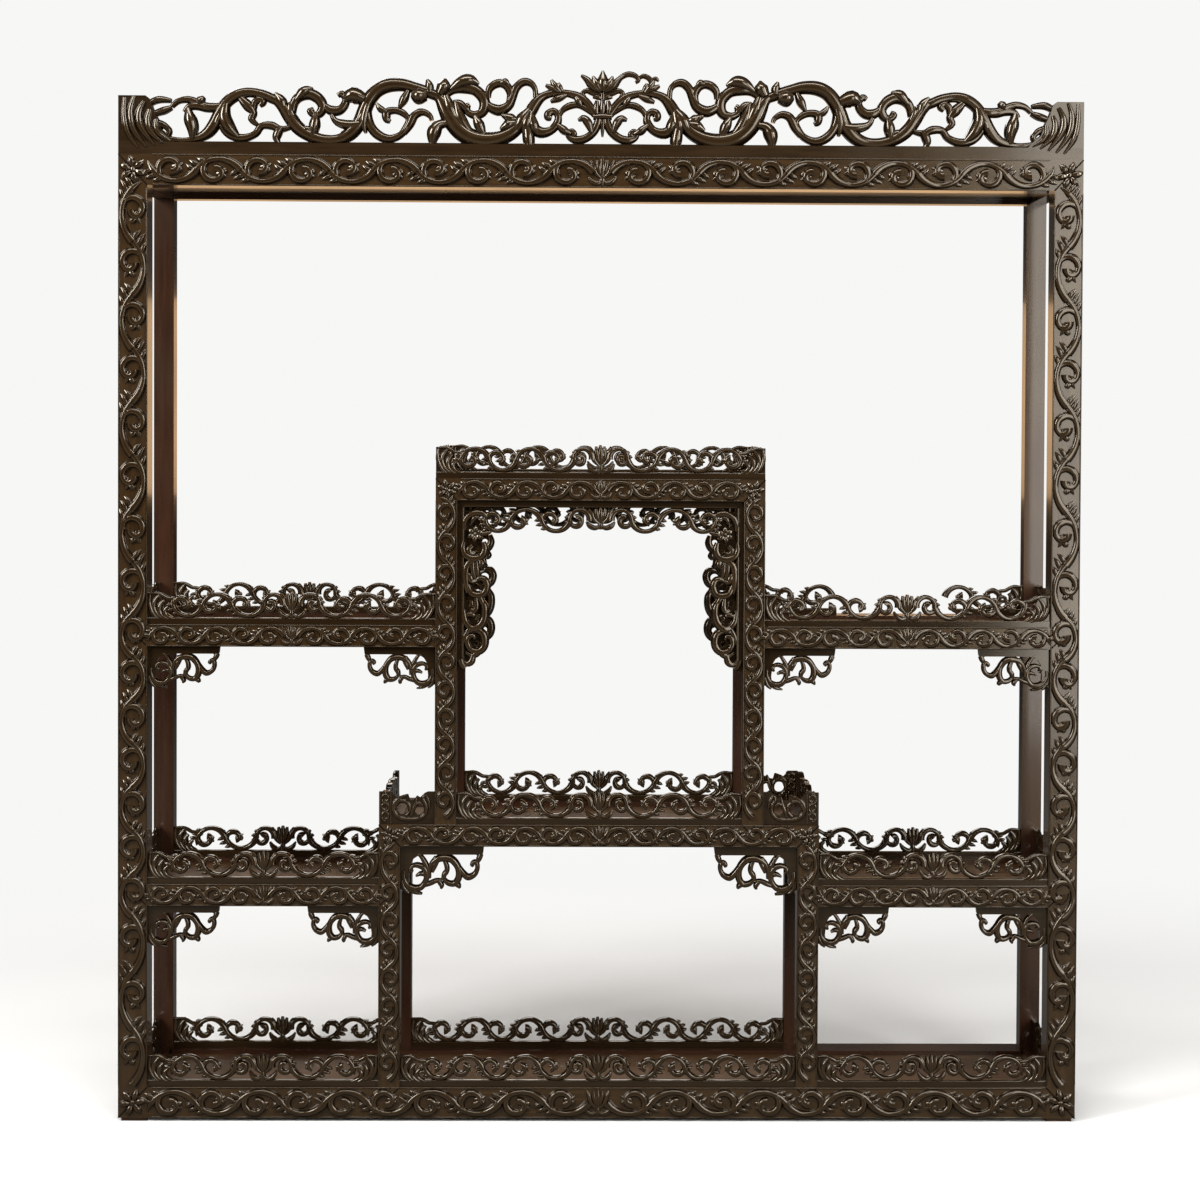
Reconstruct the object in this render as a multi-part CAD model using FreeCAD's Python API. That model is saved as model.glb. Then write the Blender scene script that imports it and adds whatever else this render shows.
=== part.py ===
import FreeCAD, Part
import math
import os

# A hanging curio cabinet in dark hardwood. A mitred front frame with a crest stands before a plainer
# back frame. Between them are a raised centre niche on a step, four side shelves and a bottom shelf,
# with pierced galleries, corner brackets and aprons. Millimetres, X across, front towards -Y, +Z up,
# origin at the bottom of the feet under the middle of the cabinet.

Vector = FreeCAD.Vector

# Front frame and overall depth
CABINET_DEPTH = 180.0
STILE_WIDTH = 29.0
STILE_DEPTH = 30.0
FRAME_RAIL_HEIGHT = 31.0

# Clear widths between the uprights
LOWER_BAY_WIDTH = 232.0
STEP_WIDTH = 56.0
NICHE_WIDTH = 287.5

# Clear heights between the rails
BOTTOM_BAY_HEIGHT = 183.0
STEP_RISE = 38.5
NICHE_HEIGHT = 326.0
UPPER_SHELF_RISE = 178.5
TOP_BAY_HEIGHT = 291.0

# Inner posts and shelf frames
POST_WIDTH = 21.5
POST_DEPTH = 22.0
SHELF_RAIL_HEIGHT = 22.0
BACK_POST_WIDTH = 21.0
BACK_POST_DEPTH = 21.0
BACK_RAIL_DEPTH = 32.0
SIDE_RAIL_WIDTH = 17.0
SIDE_RAIL_HEIGHT = 18.0

# Shelf boards, held in grooves, and the ceiling board under the top frame
BOARD_THICKNESS = 8.0
BOARD_DROP = 4.0
BOARD_TONGUE = 5.0
CEILING_RISE = 6.0

# Joints: pointed laps with a tenon behind, stub tenons and mitre tenons
LAP_DEPTH = 8.0
TENON_SETBACK = 1.5
TENON_THICKNESS = 7.0
TENON_WIDTH = 12.0
TENON_LENGTH = 14.0
STUB_INSET = 5.5
STUB_LENGTH = 5.0
MITRE_TENON_MARGIN = 7.0
MITRE_TENON_WIDTH = 9.0

# Feet
FOOT_HEIGHT = 3.5
FOOT_WIDTH = 26.0
FOOT_DEPTH = 18.0
FOOT_SETBACK = 2.0

# Pierced galleries
GALLERY_HEIGHT = 33.0
GALLERY_BASE = 6.0
GALLERY_THICKNESS = 6.0
GALLERY_SETBACK = 2.0
GALLERY_PITCH = 27.0
GALLERY_BLOCK = 16.0
PALMETTE_HALF = 8.5
PALMETTE_BUD = 5.0
PALMETTE_PETAL = 4.6
PALMETTE_PETAL_REACH = 6.8
PALMETTE_STALK = 6.0
EVEN = 1.0
STEM = 3.2
CURL = 2.6
STEM_SINK = 0.8
CURL_REACH = 0.8
CURL_SWEEP = 200.0
CURL_SHRINK = 0.55
EYE_SWEEP = 190.0

# Solid galleries of the two steps
STEP_EYE_RADIUS = 6.0
STEP_EYE_SPACING = 18.0
STEP_EYE_HEIGHT = 17.0
STEP_NOTCH_WIDTH = 10.0
STEP_NOTCH_DEPTH = 8.0

# Break in the right upper back gallery, measured from the niche post
BREAK_START = 88.0
BREAK_LENGTH = 128.0

# Crest on its base strip
CREST_BASE_HEIGHT = 12.0
CREST_THICKNESS = 10.0
CREST_SETBACK = 4.0
CREST_WAVE_HEIGHT = 76.0
CREST_TAPER = 0.93
CREST_PALMETTE_HEIGHT = 75.0
CREST_PITCH = 76.0
CREST_BLOCK_WIDTH = 30.0
CREST_BLOCK_HEIGHT = 45.0
CREST_STEM = 7.5
CREST_CURL = 5.5
CREST_RAIL = 2.0

# Corner brackets
SHELF_BRACKET_WIDTH = 74.0
SHELF_BRACKET_HEIGHT = 42.0
SHELF_BRACKET_RING = 12.5
SHELF_BRACKET_TIP = 7.5
STEP_BRACKET_WIDTH = 90.0
STEP_BRACKET_HEIGHT = 49.0
STEP_BRACKET_RING = 15.0
STEP_BRACKET_TIP = 9.0
BRACKET_TOP_BAR = 7.0
BRACKET_SIDE_BAR = 9.0
BRACKET_THICKNESS = 8.0
BRACKET_SETBACK = 3.0
BRACKET_BAND = 3.0
BRACKET_LAP = 1.0

# Niche aprons: a top piece and two tapering drops
APRON_EDGE = 6.5
APRON_HEIGHT = 34.0
APRON_THICKNESS = 8.0
APRON_SETBACK = 3.0
DROP_LENGTH = 138.0
DROP_FRET_WIDTH = 26.0
DROP_SCROLLS = 5
DROP_TAPER = 0.82

# Hanger plates and their screws, let into the top back rail
HANGER_SPACING = 640.0
HANGER_LENGTH = 60.0
HANGER_WIDTH = 20.0
HANGER_THICKNESS = 2.0
HANGER_HOLE_RADIUS = 4.0
HANGER_POCKET_RADIUS = 8.0
HANGER_POCKET_DEPTH = 11.0
SCREW_SPACING = 44.0
SCREW_RADIUS = 1.75
SCREW_HEAD_RADIUS = 3.5
SCREW_LENGTH = 16.0

# Places across, for the left half; the right half mirrors it
NICHE_IN = -NICHE_WIDTH / 2
NICHE_OUT = NICHE_IN - POST_WIDTH
LOWER_OUT = NICHE_OUT - STEP_WIDTH
LOWER_IN = LOWER_OUT + POST_WIDTH
STILE_IN = LOWER_OUT - LOWER_BAY_WIDTH
STILE_OUT = STILE_IN - STILE_WIDTH
BACK_POST_OUT = STILE_IN - BACK_POST_WIDTH

# Heights, each the top of its rail
BASE = FOOT_HEIGHT
BOTTOM_TOP = BASE + FRAME_RAIL_HEIGHT
LOWER_TOP = BOTTOM_TOP + BOTTOM_BAY_HEIGHT + SHELF_RAIL_HEIGHT
STEP_TOP = LOWER_TOP + STEP_RISE + SHELF_RAIL_HEIGHT
STEP_BOTTOM = STEP_TOP - SHELF_RAIL_HEIGHT
UPPER_TOP = STEP_TOP + UPPER_SHELF_RISE + SHELF_RAIL_HEIGHT
NICHE_TOP = STEP_TOP + NICHE_HEIGHT + SHELF_RAIL_HEIGHT
NICHE_CEILING = NICHE_TOP - SHELF_RAIL_HEIGHT
FRIEZE_BOTTOM = NICHE_TOP + TOP_BAY_HEIGHT
FRAME_TOP = FRIEZE_BOTTOM + FRAME_RAIL_HEIGHT

# Places from front to back
FRONT = -CABINET_DEPTH / 2
BACK = CABINET_DEPTH / 2
STILE_BACK = FRONT + STILE_DEPTH
POST_BACK = FRONT + POST_DEPTH
LAP_BACK = FRONT + LAP_DEPTH
TENON_FRONT = LAP_BACK + TENON_SETBACK
TENON_BACK = TENON_FRONT + TENON_THICKNESS
BACK_POST_FRONT = BACK - BACK_POST_DEPTH
BACK_RAIL_FRONT = BACK - BACK_RAIL_DEPTH
BACK_TENON_MIDDLE = BACK - BACK_POST_DEPTH / 2
BACK_TENON_FRONT = BACK_TENON_MIDDLE - TENON_THICKNESS / 2
BACK_TENON_BACK = BACK_TENON_MIDDLE + TENON_THICKNESS / 2
GALLERY_FRONT = FRONT + GALLERY_SETBACK
GALLERY_BACK = GALLERY_FRONT + GALLERY_THICKNESS


def box(x0, x1, y0, y1, z0, z1):
    return Part.makeBox(x1 - x0, y1 - y0, z1 - z0, Vector(x0, y0, z0))


def plate(outline, y0, y1):
    """Flat piece with a straight-sided outline of (x, z) points, from y0 back to y1."""
    corners = [Vector(x, y0, z) for x, z in outline]
    face = Part.Face(Part.makePolygon(corners + corners[:1]))
    return face.extrude(Vector(0, y1 - y0, 0))


def mirrored(shape):
    return shape.mirror(Vector(0, 0, 0), Vector(1, 0, 0))


def moved(shape, x, y, z):
    copy = shape.copy()
    copy.translate(Vector(x, y, z))
    return copy


def joined(first, *others):
    return first.fuse(list(others)).removeSplitter().Solids[0]


def housed(piece, *incoming):
    """The piece with a mortise, notch or groove for each piece that enters it."""
    return piece.cut(list(incoming)).Solids[0]


def save(name, *solids):
    shape = solids[0] if len(solids) == 1 else Part.makeCompound(list(solids))
    shape.exportStep("parts/" + name + ".step")


# Carved outlines are drawn flat in the XZ plane and then given their thickness.

def rectangle(x0, x1, z0, z1):
    return Part.Face(Part.makePolygon([
        Vector(x0, 0, z0), Vector(x1, 0, z0), Vector(x1, 0, z1), Vector(x0, 0, z1), Vector(x0, 0, z0)]))


def disc(x, z, radius):
    return Part.Face(Part.Wire(Part.makeCircle(radius, Vector(x, 0, z), Vector(0, -1, 0))))


def polar(x, z, radius, angle):
    turn = math.radians(angle)
    return Vector(x + radius * math.cos(turn), 0, z + radius * math.sin(turn))


def arc_band(x, z, radius, band, start, end):
    """Part of a ring, band wide about the radius, between two angles in degrees."""
    start, end = sorted((start, end))
    outer = radius + band / 2
    inner = radius - band / 2
    half_way = (start + end) / 2
    edges = [
        Part.Arc(*[polar(x, z, outer, angle) for angle in (start, half_way, end)]).toShape(),
        Part.LineSegment(polar(x, z, outer, end), polar(x, z, inner, end)).toShape(),
        Part.Arc(*[polar(x, z, inner, angle) for angle in (end, half_way, start)]).toShape(),
        Part.LineSegment(polar(x, z, inner, start), polar(x, z, outer, start)).toShape()]
    return Part.Face(Part.Wire(edges))


def ring(place, radius, band):
    """Two half rings that make a whole one of the given outer radius."""
    middle = radius - band / 2
    return [arc_band(place.x, place.z, middle, band, start, start + 180) for start in (0, 180)]


def tapered(run, count, taper):
    """The given number of lengths that fill a run, each the taper times the one before it."""
    sizes = [taper ** place for place in range(count)]
    return [run * size / sum(sizes) for size in sizes]


def scroll_chain(x, z, heading, chords, bow, stem, curl, side):
    """Running scroll: arcs that swing to either side of a straight line, each with a curl inside.

    Every arc rises bow times its chord, so that neighbours of any size meet in one smooth line.
    """
    faces = []
    half_arc = math.degrees(2 * math.atan(2 * bow))
    along = polar(0, 0, 1, heading)
    across = polar(0, 0, 1, heading + 90)
    point = Vector(x, 0, z)
    for chord in chords:
        rise = bow * chord
        radius = (chord * chord / 4 + rise * rise) / (2 * rise)
        centre = point + along * (chord / 2) + across * (side * (rise - radius))
        crown = heading + 90 * side
        faces.append(arc_band(centre.x, centre.z, radius, stem, crown - half_arc, crown + half_arc))
        point = point + along * chord
        curl_start = crown - side * half_arc
        curl_end = curl_start - side * CURL_SWEEP
        curl_radius = CURL_REACH * rise / (2 - rise / radius)
        curl_centre = point + (centre - point) * (curl_radius / radius)
        faces.append(arc_band(curl_centre.x, curl_centre.z, curl_radius, curl, curl_start, curl_end))
        eye = polar(curl_centre.x, curl_centre.z, curl_radius, curl_end)
        eye_radius = curl_radius * CURL_SHRINK
        eye_centre = eye + (curl_centre - eye) * CURL_SHRINK
        eye_end = curl_end - side * EYE_SWEEP
        faces.append(arc_band(eye_centre.x, eye_centre.z, eye_radius, curl, curl_end, eye_end))
        side = -side
    return faces


def palmette(base, middle, top):
    """Upright leaf fan between two scrolls, on a stalk from the base."""
    petal_height = (middle + top) / 2
    return [
        rectangle(-PALMETTE_STALK / 2, PALMETTE_STALK / 2, base - STEM_SINK, top - PALMETTE_BUD),
        disc(0, middle, PALMETTE_HALF + STEM_SINK),
        disc(0, top - PALMETTE_BUD, PALMETTE_BUD),
        disc(PALMETTE_PETAL_REACH, petal_height, PALMETTE_PETAL),
        disc(-PALMETTE_PETAL_REACH, petal_height, PALMETTE_PETAL)]


def united(faces, thickness):
    flat = faces[0].multiFuse(faces[1:]).removeSplitter()
    return flat.Faces[0].extrude(Vector(0, thickness, 0))


def scroll_panel(length, base, height, block_width, block_height, palmette_height, pitch, taper, stem, curl):
    """Faces of a pierced board: base strip, end blocks, palmette and a running scroll each way."""
    half = length / 2
    run = half - block_width - PALMETTE_HALF
    chords = tapered(run, max(1, round(run / pitch)), taper)
    rise = (height - base - stem + STEM_SINK) / 2
    bow = rise / chords[0]
    seat = base - STEM_SINK + stem / 2
    start = seat + rise
    end = seat + bow * chords[-1]
    slope = math.degrees(math.atan2(end - start, run))
    faces = scroll_chain(PALMETTE_HALF, start, slope, chords, bow, stem, curl, 1)
    faces += scroll_chain(-PALMETTE_HALF, start, 180 - slope, chords, bow, stem, curl, -1)
    faces.append(rectangle(-half, half, 0, base))
    faces.append(rectangle(-half, STEM_SINK - half + block_width, 0, block_height))
    faces.append(rectangle(half - block_width - STEM_SINK, half, 0, block_height))
    return faces + palmette(base, start, palmette_height)


def gallery(length):
    faces = scroll_panel(length, GALLERY_BASE, GALLERY_HEIGHT, GALLERY_BLOCK, GALLERY_HEIGHT,
                         GALLERY_HEIGHT, GALLERY_PITCH, EVEN, STEM, CURL)
    return united(faces, GALLERY_THICKNESS)


def gallery_between(x0, x1, front, level):
    return moved(gallery(x1 - x0), (x0 + x1) / 2, front, level)


def side_gallery(outer, y0, y1, level):
    """Gallery along the left end of a shelf, its outer face at the given place."""
    board = gallery(y1 - y0)
    board.rotate(Vector(0, 0, 0), Vector(0, 0, 1), 90)
    return moved(board, outer + GALLERY_THICKNESS, (y0 + y1) / 2, level)


def step_gallery(x0, x1, front):
    """Solid little gallery with two scroll eyes and a notch between them."""
    middle = (x0 + x1) / 2
    notch_left = middle - STEP_NOTCH_WIDTH / 2
    notch_right = middle + STEP_NOTCH_WIDTH / 2
    notch_floor = GALLERY_HEIGHT - STEP_NOTCH_DEPTH
    board = plate([(x0, 0), (x1, 0), (x1, GALLERY_HEIGHT), (notch_right, GALLERY_HEIGHT),
                   (middle, notch_floor), (notch_left, GALLERY_HEIGHT), (x0, GALLERY_HEIGHT)],
                  0, GALLERY_THICKNESS)
    for eye in (middle - STEP_EYE_SPACING / 2, middle + STEP_EYE_SPACING / 2):
        hole = disc(eye, STEP_EYE_HEIGHT, STEP_EYE_RADIUS).extrude(Vector(0, GALLERY_THICKNESS, 0))
        board = board.cut(hole)
    return moved(board.Solids[0], 0, front, STEP_TOP)


def bracket(width, height, big, small):
    """Corner bracket below a rail, corner at the origin: two bars and three scroll rings.

    The rings shrink from the side bar to the tip, and the one between reaches from big to small.
    """
    big_place = Vector(BRACKET_SIDE_BAR + big - BRACKET_LAP, 0, big + BRACKET_BAND - height)
    small_place = Vector(width - small - BRACKET_BAND, 0, BRACKET_LAP - BRACKET_TOP_BAR - small)
    step = small_place - big_place
    middle = (step.Length - big - small) / 2 + BRACKET_LAP
    middle_place = big_place + step * ((big + middle - BRACKET_LAP) / step.Length)
    faces = [rectangle(0, width, -BRACKET_TOP_BAR, 0), rectangle(0, BRACKET_SIDE_BAR, -height, 0)]
    faces += ring(big_place, big, BRACKET_BAND)
    faces += ring(middle_place, middle, BRACKET_BAND)
    faces += ring(small_place, small, BRACKET_BAND)
    return united(faces, BRACKET_THICKNESS)


def bracket_pair(piece, left, right, rail_bottom):
    """Brackets in both corners below a rail that runs between two uprights."""
    front = FRONT + BRACKET_SETBACK
    return [moved(piece, left, front, rail_bottom), moved(mirrored(piece), right, front, rail_bottom)]


def apron_top(front):
    faces = scroll_panel(NICHE_WIDTH, APRON_EDGE, APRON_HEIGHT, APRON_EDGE, APRON_HEIGHT,
                         APRON_HEIGHT, GALLERY_PITCH, EVEN, STEM, CURL)
    piece = united(faces, APRON_THICKNESS)
    piece.rotate(Vector(0, APRON_THICKNESS / 2, 0), Vector(0, 1, 0), 180)
    return moved(piece, 0, front, NICHE_CEILING)


def apron_drop(front):
    """Left drop, drawn lying down from its top end and then turned to hang on the niche post."""
    chords = tapered(DROP_LENGTH, DROP_SCROLLS, DROP_TAPER)
    bow = (DROP_FRET_WIDTH - STEM) / (2 * chords[0])
    start = APRON_EDGE + bow * chords[0] + STEM / 2 - STEM_SINK
    end = APRON_EDGE + bow * chords[-1]
    heading = math.degrees(math.atan2(end - start, DROP_LENGTH))
    faces = scroll_chain(0, start, heading, chords, bow, STEM, CURL, -1)
    faces.append(rectangle(0, DROP_LENGTH, 0, APRON_EDGE))
    whole = united(faces, APRON_THICKNESS)
    piece = whole.common(box(0, DROP_LENGTH, 0, APRON_THICKNESS, 0, DROP_LENGTH)).Solids[0]
    piece.rotate(Vector(0, 0, 0), Vector(0, 1, 0), 90)
    return moved(piece, NICHE_IN, front, NICHE_CEILING - APRON_HEIGHT)


def crest():
    faces = scroll_panel(2 * -STILE_OUT, CREST_RAIL, CREST_WAVE_HEIGHT, CREST_BLOCK_WIDTH,
                         CREST_BLOCK_HEIGHT, CREST_PALMETTE_HEIGHT, CREST_PITCH, CREST_TAPER,
                         CREST_STEM, CREST_CURL)
    return moved(united(faces, CREST_THICKNESS), 0, FRONT + CREST_SETBACK, FRAME_TOP + CREST_BASE_HEIGHT)


def pointed_rail(x0, x1, top):
    """Shelf front rail between two uprights, its face ending in points lapped over tenons."""
    bottom = top - SHELF_RAIL_HEIGHT
    middle = top - SHELF_RAIL_HEIGHT / 2
    point = SHELF_RAIL_HEIGHT / 2
    outline = [(x0, bottom), (x1, bottom), (x1 + point, middle), (x1, top), (x0, top), (x0 - point, middle)]
    face = plate(outline, FRONT, LAP_BACK)
    core = box(x0, x1, LAP_BACK, POST_BACK, bottom, top)
    tenon = box(x0 - TENON_LENGTH, x1 + TENON_LENGTH, TENON_FRONT, TENON_BACK,
                middle - TENON_WIDTH / 2, middle + TENON_WIDTH / 2)
    return joined(face, core, tenon)


def pointed_post(outer, inner, foot, shoulder, crown):
    """Left front post: pointed foot on the rail below, mitred to the rail above."""
    middle = (outer + inner) / 2
    point = POST_WIDTH / 2
    face = plate([(outer, foot), (middle, foot - point), (inner, foot), (inner, shoulder), (outer, crown)],
                 FRONT, LAP_BACK)
    core = plate([(outer, foot), (inner, foot), (inner, shoulder), (outer, crown)], LAP_BACK, POST_BACK)
    tenon = box(middle - TENON_WIDTH / 2, middle + TENON_WIDTH / 2, TENON_FRONT, TENON_BACK,
                foot - TENON_LENGTH, foot + STUB_INSET)
    return joined(face, core, tenon)


def mitred_rail(outer, inner, inner_edge, outer_edge, depth):
    """Front rail mitred to a post at each end, with a tenon standing out of either mitre."""
    rail = plate([(outer, outer_edge), (inner, inner_edge), (-inner, inner_edge), (-outer, outer_edge)],
                 FRONT, FRONT + depth)
    near = inner_edge + math.copysign(STUB_INSET, outer_edge - inner_edge)
    far = near + math.copysign(MITRE_TENON_WIDTH, outer_edge - inner_edge)
    tenon = box(outer + MITRE_TENON_MARGIN, inner + STUB_INSET, TENON_FRONT, TENON_BACK,
                min(near, far), max(near, far))
    return joined(rail, tenon, mirrored(tenon))


def back_post(outer, inner, foot, top, end_tenon):
    """Plain left back post, with a tenon at each end where it stands between two rails."""
    middle = (outer + inner) / 2
    post = box(outer, inner, BACK_POST_FRONT, BACK, foot, top)
    tenon = box(middle - TENON_WIDTH / 2, middle + TENON_WIDTH / 2, BACK_TENON_FRONT, BACK_TENON_BACK,
                foot - end_tenon, top + end_tenon)
    return joined(post, tenon)


def back_rail(x0, x1, front, bottom, top, end_tenon):
    """Plain back rail, with a tenon at each end where it runs between two posts."""
    middle = (bottom + top) / 2
    rail = box(x0, x1, front, BACK, bottom, top)
    tenon = box(x0 - end_tenon, x1 + end_tenon, BACK_TENON_FRONT, BACK_TENON_BACK,
                middle - TENON_WIDTH / 2, middle + TENON_WIDTH / 2)
    return joined(rail, tenon)


def side_rail(outer, inner, y0, y1, bottom, top):
    """Left side rail, centred between two faces, with a stub tenon at each end."""
    left = (outer + inner - SIDE_RAIL_WIDTH) / 2
    right = left + SIDE_RAIL_WIDTH
    rail = box(left, right, y0, y1, bottom, top)
    stub = box(left + STUB_INSET, right - STUB_INSET, y0 - STUB_LENGTH, y1 + STUB_LENGTH,
               bottom + STUB_INSET, top - STUB_INSET)
    return joined(rail, stub)


def board(left_rail, right_rail, front, back, bottom, *posts):
    """Shelf board with its tongues in the rails round it, notched for the posts at its corners."""
    x0 = left_rail.BoundBox.XMax - BOARD_TONGUE
    x1 = right_rail.BoundBox.XMin + BOARD_TONGUE
    blank = box(x0, x1, front - BOARD_TONGUE, back + BOARD_TONGUE, bottom, bottom + BOARD_THICKNESS)
    return housed(blank, *posts)


def shelf_board_bottom(top):
    return top - BOARD_DROP - BOARD_THICKNESS


# Front frame blanks
stile_outline = [(STILE_OUT, BASE), (STILE_IN, BOTTOM_TOP), (STILE_IN, FRIEZE_BOTTOM), (STILE_OUT, FRAME_TOP)]
stile_blank = plate(stile_outline, FRONT, STILE_BACK)
top_rail = mitred_rail(STILE_OUT, STILE_IN, FRIEZE_BOTTOM, FRAME_TOP, STILE_DEPTH)
bottom_rail = mitred_rail(STILE_OUT, STILE_IN, BOTTOM_TOP, BASE, STILE_DEPTH)

# Posts and front rails inside the frame
niche_post = pointed_post(NICHE_OUT, NICHE_IN, STEP_TOP, NICHE_CEILING, NICHE_TOP)
niche_rail = mitred_rail(NICHE_OUT, NICHE_IN, NICHE_CEILING, NICHE_TOP, POST_DEPTH)
lower_post = pointed_post(LOWER_OUT, LOWER_IN, BOTTOM_TOP, STEP_BOTTOM, STEP_TOP)
step_rail = mitred_rail(LOWER_OUT, LOWER_IN, STEP_BOTTOM, STEP_TOP, POST_DEPTH)
upper_rail = pointed_rail(STILE_IN, NICHE_OUT, UPPER_TOP)
lower_rail = pointed_rail(STILE_IN, LOWER_OUT, LOWER_TOP)

# Back frame
back_stile = back_post(BACK_POST_OUT, STILE_IN, BASE, FRAME_TOP, 0)
niche_back_post = back_post(NICHE_OUT, NICHE_IN, STEP_TOP, NICHE_CEILING, TENON_LENGTH)
lower_back_post = back_post(LOWER_OUT, LOWER_IN, BOTTOM_TOP, STEP_BOTTOM, TENON_LENGTH)
top_back_rail = back_rail(STILE_IN, -STILE_IN, BACK_POST_FRONT, FRIEZE_BOTTOM, FRAME_TOP, TENON_LENGTH)
bottom_back_rail = back_rail(STILE_IN, -STILE_IN, BACK_RAIL_FRONT, BASE, BOTTOM_TOP, TENON_LENGTH)
niche_back_rail = back_rail(NICHE_OUT, -NICHE_OUT, BACK_RAIL_FRONT, NICHE_CEILING, NICHE_TOP, 0)
step_back_rail = back_rail(LOWER_OUT, -LOWER_OUT, BACK_RAIL_FRONT, STEP_BOTTOM, STEP_TOP, 0)
upper_back_rail = back_rail(STILE_IN, NICHE_OUT, BACK_RAIL_FRONT, UPPER_TOP - SHELF_RAIL_HEIGHT, UPPER_TOP,
                            TENON_LENGTH)
lower_back_rail = back_rail(STILE_IN, LOWER_OUT, BACK_RAIL_FRONT, LOWER_TOP - SHELF_RAIL_HEIGHT, LOWER_TOP,
                            TENON_LENGTH)

# Side rails of the left half
top_side = side_rail(BACK_POST_OUT, STILE_IN, STILE_BACK, BACK_POST_FRONT, FRIEZE_BOTTOM, FRAME_TOP)
bottom_side = side_rail(BACK_POST_OUT, STILE_IN, STILE_BACK, BACK_POST_FRONT, BASE, BOTTOM_TOP)
upper_outer_side = side_rail(BACK_POST_OUT, STILE_IN, STILE_BACK, BACK_POST_FRONT,
                             UPPER_TOP - SIDE_RAIL_HEIGHT, UPPER_TOP)
lower_outer_side = side_rail(BACK_POST_OUT, STILE_IN, STILE_BACK, BACK_POST_FRONT,
                             LOWER_TOP - SIDE_RAIL_HEIGHT, LOWER_TOP)
upper_inner_side = side_rail(NICHE_OUT, NICHE_IN, POST_BACK, BACK_POST_FRONT,
                             UPPER_TOP - SIDE_RAIL_HEIGHT, UPPER_TOP)
lower_inner_side = side_rail(LOWER_OUT, LOWER_IN, POST_BACK, BACK_POST_FRONT,
                             LOWER_TOP - SIDE_RAIL_HEIGHT, LOWER_TOP)
niche_side = side_rail(NICHE_OUT, NICHE_IN, POST_BACK, BACK_RAIL_FRONT,
                       NICHE_TOP - SIDE_RAIL_HEIGHT, NICHE_TOP)
step_side = side_rail(LOWER_OUT, LOWER_IN, POST_BACK, BACK_RAIL_FRONT,
                      STEP_TOP - SIDE_RAIL_HEIGHT, STEP_TOP)

# Boards
top_board = board(top_side, mirrored(top_side), STILE_BACK, BACK_POST_FRONT, FRIEZE_BOTTOM + CEILING_RISE,
                  stile_blank, mirrored(stile_blank), back_stile, mirrored(back_stile))
bottom_board = board(bottom_side, mirrored(bottom_side), STILE_BACK, BACK_RAIL_FRONT,
                     shelf_board_bottom(BOTTOM_TOP), stile_blank, mirrored(stile_blank))
niche_board = board(niche_side, mirrored(niche_side), POST_BACK, BACK_RAIL_FRONT,
                    shelf_board_bottom(NICHE_TOP), niche_post, mirrored(niche_post))
step_board = board(step_side, mirrored(step_side), POST_BACK, BACK_RAIL_FRONT,
                   shelf_board_bottom(STEP_TOP), lower_post, mirrored(lower_post))
upper_board = board(upper_outer_side, upper_inner_side, POST_BACK, BACK_RAIL_FRONT,
                    shelf_board_bottom(UPPER_TOP), stile_blank, niche_post)
lower_board = board(lower_outer_side, lower_inner_side, POST_BACK, BACK_RAIL_FRONT,
                    shelf_board_bottom(LOWER_TOP), stile_blank, lower_post)

# Mortises, mitres and grooves: each piece is cut by what enters it
stile = housed(stile_blank, top_rail, bottom_rail, upper_rail, lower_rail,
               top_side, bottom_side, upper_outer_side, lower_outer_side)
top_front_rail = housed(top_rail, top_board, top_side, mirrored(top_side))
bottom_front_rail = housed(bottom_rail, bottom_board, lower_post, mirrored(lower_post),
                           bottom_side, mirrored(bottom_side))
left_niche_post = housed(niche_post, niche_rail, upper_rail, upper_inner_side, niche_side)
niche_front_rail = housed(niche_rail, niche_board, niche_side, mirrored(niche_side))
left_lower_post = housed(lower_post, step_rail, lower_rail, lower_inner_side, step_side)
step_front_rail = housed(step_rail, step_board, niche_post, mirrored(niche_post),
                         step_side, mirrored(step_side))
upper_front_rail = housed(upper_rail, upper_board)
lower_front_rail = housed(lower_rail, lower_board)
left_back_post = housed(back_stile, top_back_rail, bottom_back_rail, upper_back_rail, lower_back_rail,
                        top_side, bottom_side, upper_outer_side, lower_outer_side)
left_niche_back_post = housed(niche_back_post, upper_back_rail, upper_inner_side)
left_lower_back_post = housed(lower_back_post, lower_back_rail, lower_inner_side)
bottom_rail_back = housed(bottom_back_rail, bottom_board, lower_back_post, mirrored(lower_back_post))
niche_rail_back = housed(niche_back_rail, niche_board, niche_back_post, mirrored(niche_back_post),
                         niche_side, mirrored(niche_side))
step_rail_back = housed(step_back_rail, step_board, niche_back_post, mirrored(niche_back_post),
                        lower_back_post, mirrored(lower_back_post), step_side, mirrored(step_side))
upper_rail_back = housed(upper_back_rail, upper_board)
lower_rail_back = housed(lower_back_rail, lower_board)

# Hanger plates in the back of the top back rail, with a pocket behind each hanging hole
hanger_height = (FRIEZE_BOTTOM + FRAME_TOP) / 2
hanger_middle = -HANGER_SPACING / 2
plate_front = BACK - HANGER_THICKNESS
hanger_seat = box(hanger_middle - HANGER_LENGTH / 2, hanger_middle + HANGER_LENGTH / 2, plate_front, BACK,
                  hanger_height - HANGER_WIDTH / 2, hanger_height + HANGER_WIDTH / 2)
hole_start = Vector(hanger_middle, plate_front, hanger_height)
hanger_hole = Part.makeCylinder(HANGER_HOLE_RADIUS, HANGER_THICKNESS, hole_start, Vector(0, 1, 0))
pocket_start = Vector(hanger_middle, BACK - HANGER_POCKET_DEPTH, hanger_height)
hanger_pocket = Part.makeCylinder(HANGER_POCKET_RADIUS, HANGER_POCKET_DEPTH, pocket_start, Vector(0, 1, 0))


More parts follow.
